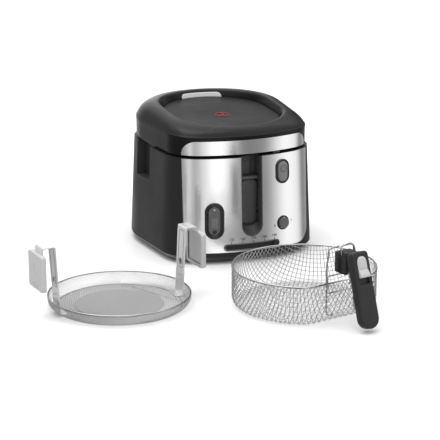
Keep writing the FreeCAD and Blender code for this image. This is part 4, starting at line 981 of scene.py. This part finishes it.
for word, side in (("left", -1), ("right", 1)):
    piece(f"{word}_stamping", stamping(side), "rim_steel", "oil_filter", FILTER)
    # The groove line is painted shade, drawn in the dark print material.
    piece(f"{word}_groove", groove(side), "dark_print_and_painted_shade", "oil_filter", FILTER)
    piece(f"{word}_hanger", strap(side), "strap_steel", "oil_filter", FILTER, (f"{word}_strap",), crease=40)
    piece(f"{word}_handgrip", grip(side), "grey_plastic", "oil_filter", FILTER, (f"{word}_grip",), crease=40)
welds = Shape()
for side in (-1, 1):
    for u, v in ((-5, 35), (4, 33), (-2, 27)):
        foot_x = side * (STRAP_X - LEAN * (1 - v / STRAP_TOP))
        spot = [[(foot_x + w, u + r * math.cos(t), v + r * math.sin(t))
                 for t in spread(0, 2 * math.pi, 15)[:-1]] for r, w in ((1.5, -1.0), (1.5, 1.0))]
        welds.add(skinned(spot, low_cap=True, high_cap=True))
piece("weld_spots", welds, "inner_steel", "oil_filter", FILTER, ("strap_rivets",))


# ---------------------------------------------------------------- finish of the CAD nodes

# The grip pockets take the lighter copy of the black plastic, which is painted light in their hollows.
SPECIAL = {"base_cover": "base_plastic", "left_grip_pocket": "pocket_painted_light_plastic",
           "right_grip_pocket": "pocket_painted_light_plastic"}
slots = {part["node"]: part["material_slot"] for part in frame["record"]["subparts"]}
for name, item in frame["nodes"].items():
    item.data.materials.clear()
    item.data.materials.append(MATERIALS[SPECIAL.get(name, slots[name])])


# ---------------------------------------------------------------- floor, light, camera

bpy.ops.mesh.primitive_plane_add(size=60)
floor = bpy.context.object
floor.name = "floor"
floor.data.materials.append(MATERIALS["floor"])
floor.visible_glossy = False


def area_light(name, spot, target, width, height, power):
    light = bpy.data.lights.new(name, "AREA")
    light.shape = "RECTANGLE"
    light.size, light.size_y, light.energy = width, height, power
    item = bpy.data.objects.new(name, light)
    item.location = spot
    item.rotation_euler = (Vector(target) - Vector(spot)).to_track_quat("-Z", "Y").to_euler()
    bpy.context.scene.collection.objects.link(item)
    return item


centre = (0.13, 0.15, 0.1)
area_light("overhead", (-0.3, 0.5, 2.6), centre, 1.6, 1.6, 24)

# Brightness of the studio's walls by direction: degrees from -Y towards +X.
WALLS = ((-180, 0.9), (-162, 0.5), (-146, 0.6), (-112, 0.25), (-76, 0.3), (-50, 0.75), (-36, 0.48),
         (-20, 0.62), (-4, 1.4), (6, 0.9), (16, 0.22), (32, 0.26), (54, 1.15), (64, 0.95), (90, 0.25),
         (116, 0.4), (148, 0.12), (166, 1.2), (180, 0.9))
CEILING = 1.75
# Sines of the elevations between which the walls turn into the ceiling.
WALL_TOP, CEILING_EDGE = 0.35, 0.8
world = bpy.data.worlds.new("studio")
bpy.context.scene.world = world
world.use_nodes = True
tree = world.node_tree


def math_node(operation, *values):
    made = tree.nodes.new("ShaderNodeMath")
    made.operation = operation
    for socket, value in zip(made.inputs, values):
        if isinstance(value, bpy.types.NodeSocket):
            tree.links.new(value, socket)
        else:
            socket.default_value = value
    return made.outputs[0]


way = node(tree, "ShaderNodeSeparateXYZ", Vector=tree.nodes.new("ShaderNodeTexCoord").outputs["Generated"])
azimuth = math_node("ARCTAN2", way.outputs["X"], math_node("MULTIPLY", way.outputs["Y"], -1.0))
share = math_node("MULTIPLY_ADD", azimuth, 0.5 / math.pi, 0.5)
walls = tree.nodes.new("ShaderNodeValToRGB")
tree.links.new(share, walls.inputs[0])
stops = walls.color_ramp.elements
walls.color_ramp.interpolation = "EASE"
for place, (angle, bright) in enumerate(WALLS):
    position = (angle + 180) / 360
    stop = stops[place] if place < 2 else stops.new(position)
    stop.position = position
    stop.color = grey(bright)
rising = node(tree, "ShaderNodeMapRange", Value=way.outputs["Z"])
rising.interpolation_type = "SMOOTHSTEP"
rising.inputs["From Min"].default_value = WALL_TOP
rising.inputs["From Max"].default_value = CEILING_EDGE
lit = tree.nodes.new("ShaderNodeMix")
lit.data_type = "RGBA"
tree.links.new(rising.outputs["Result"], lit.inputs[0])
tree.links.new(walls.outputs["Color"], lit.inputs[6])
lit.inputs[7].default_value = grey(CEILING)
tree.links.new(lit.outputs[2], tree.nodes["Background"].inputs["Color"])
bpy.context.scene.view_settings.view_transform = "Standard"

LENS = 132.2
CAMERA_SPOT = (-0.8790, -2.3833, 0.8198)
CAMERA_AIM = (0.3544, 0.8940, -0.2741)
camera_data = bpy.data.cameras.new("camera")
camera_data.sensor_width = 36
camera_data.lens = LENS
camera_data.clip_end = 100
camera = bpy.data.objects.new("camera", camera_data)
camera.location = CAMERA_SPOT
camera.rotation_euler = Vector(CAMERA_AIM).to_track_quat("-Z", "Y").to_euler()
bpy.context.scene.collection.objects.link(camera)
bpy.context.scene.camera = camera
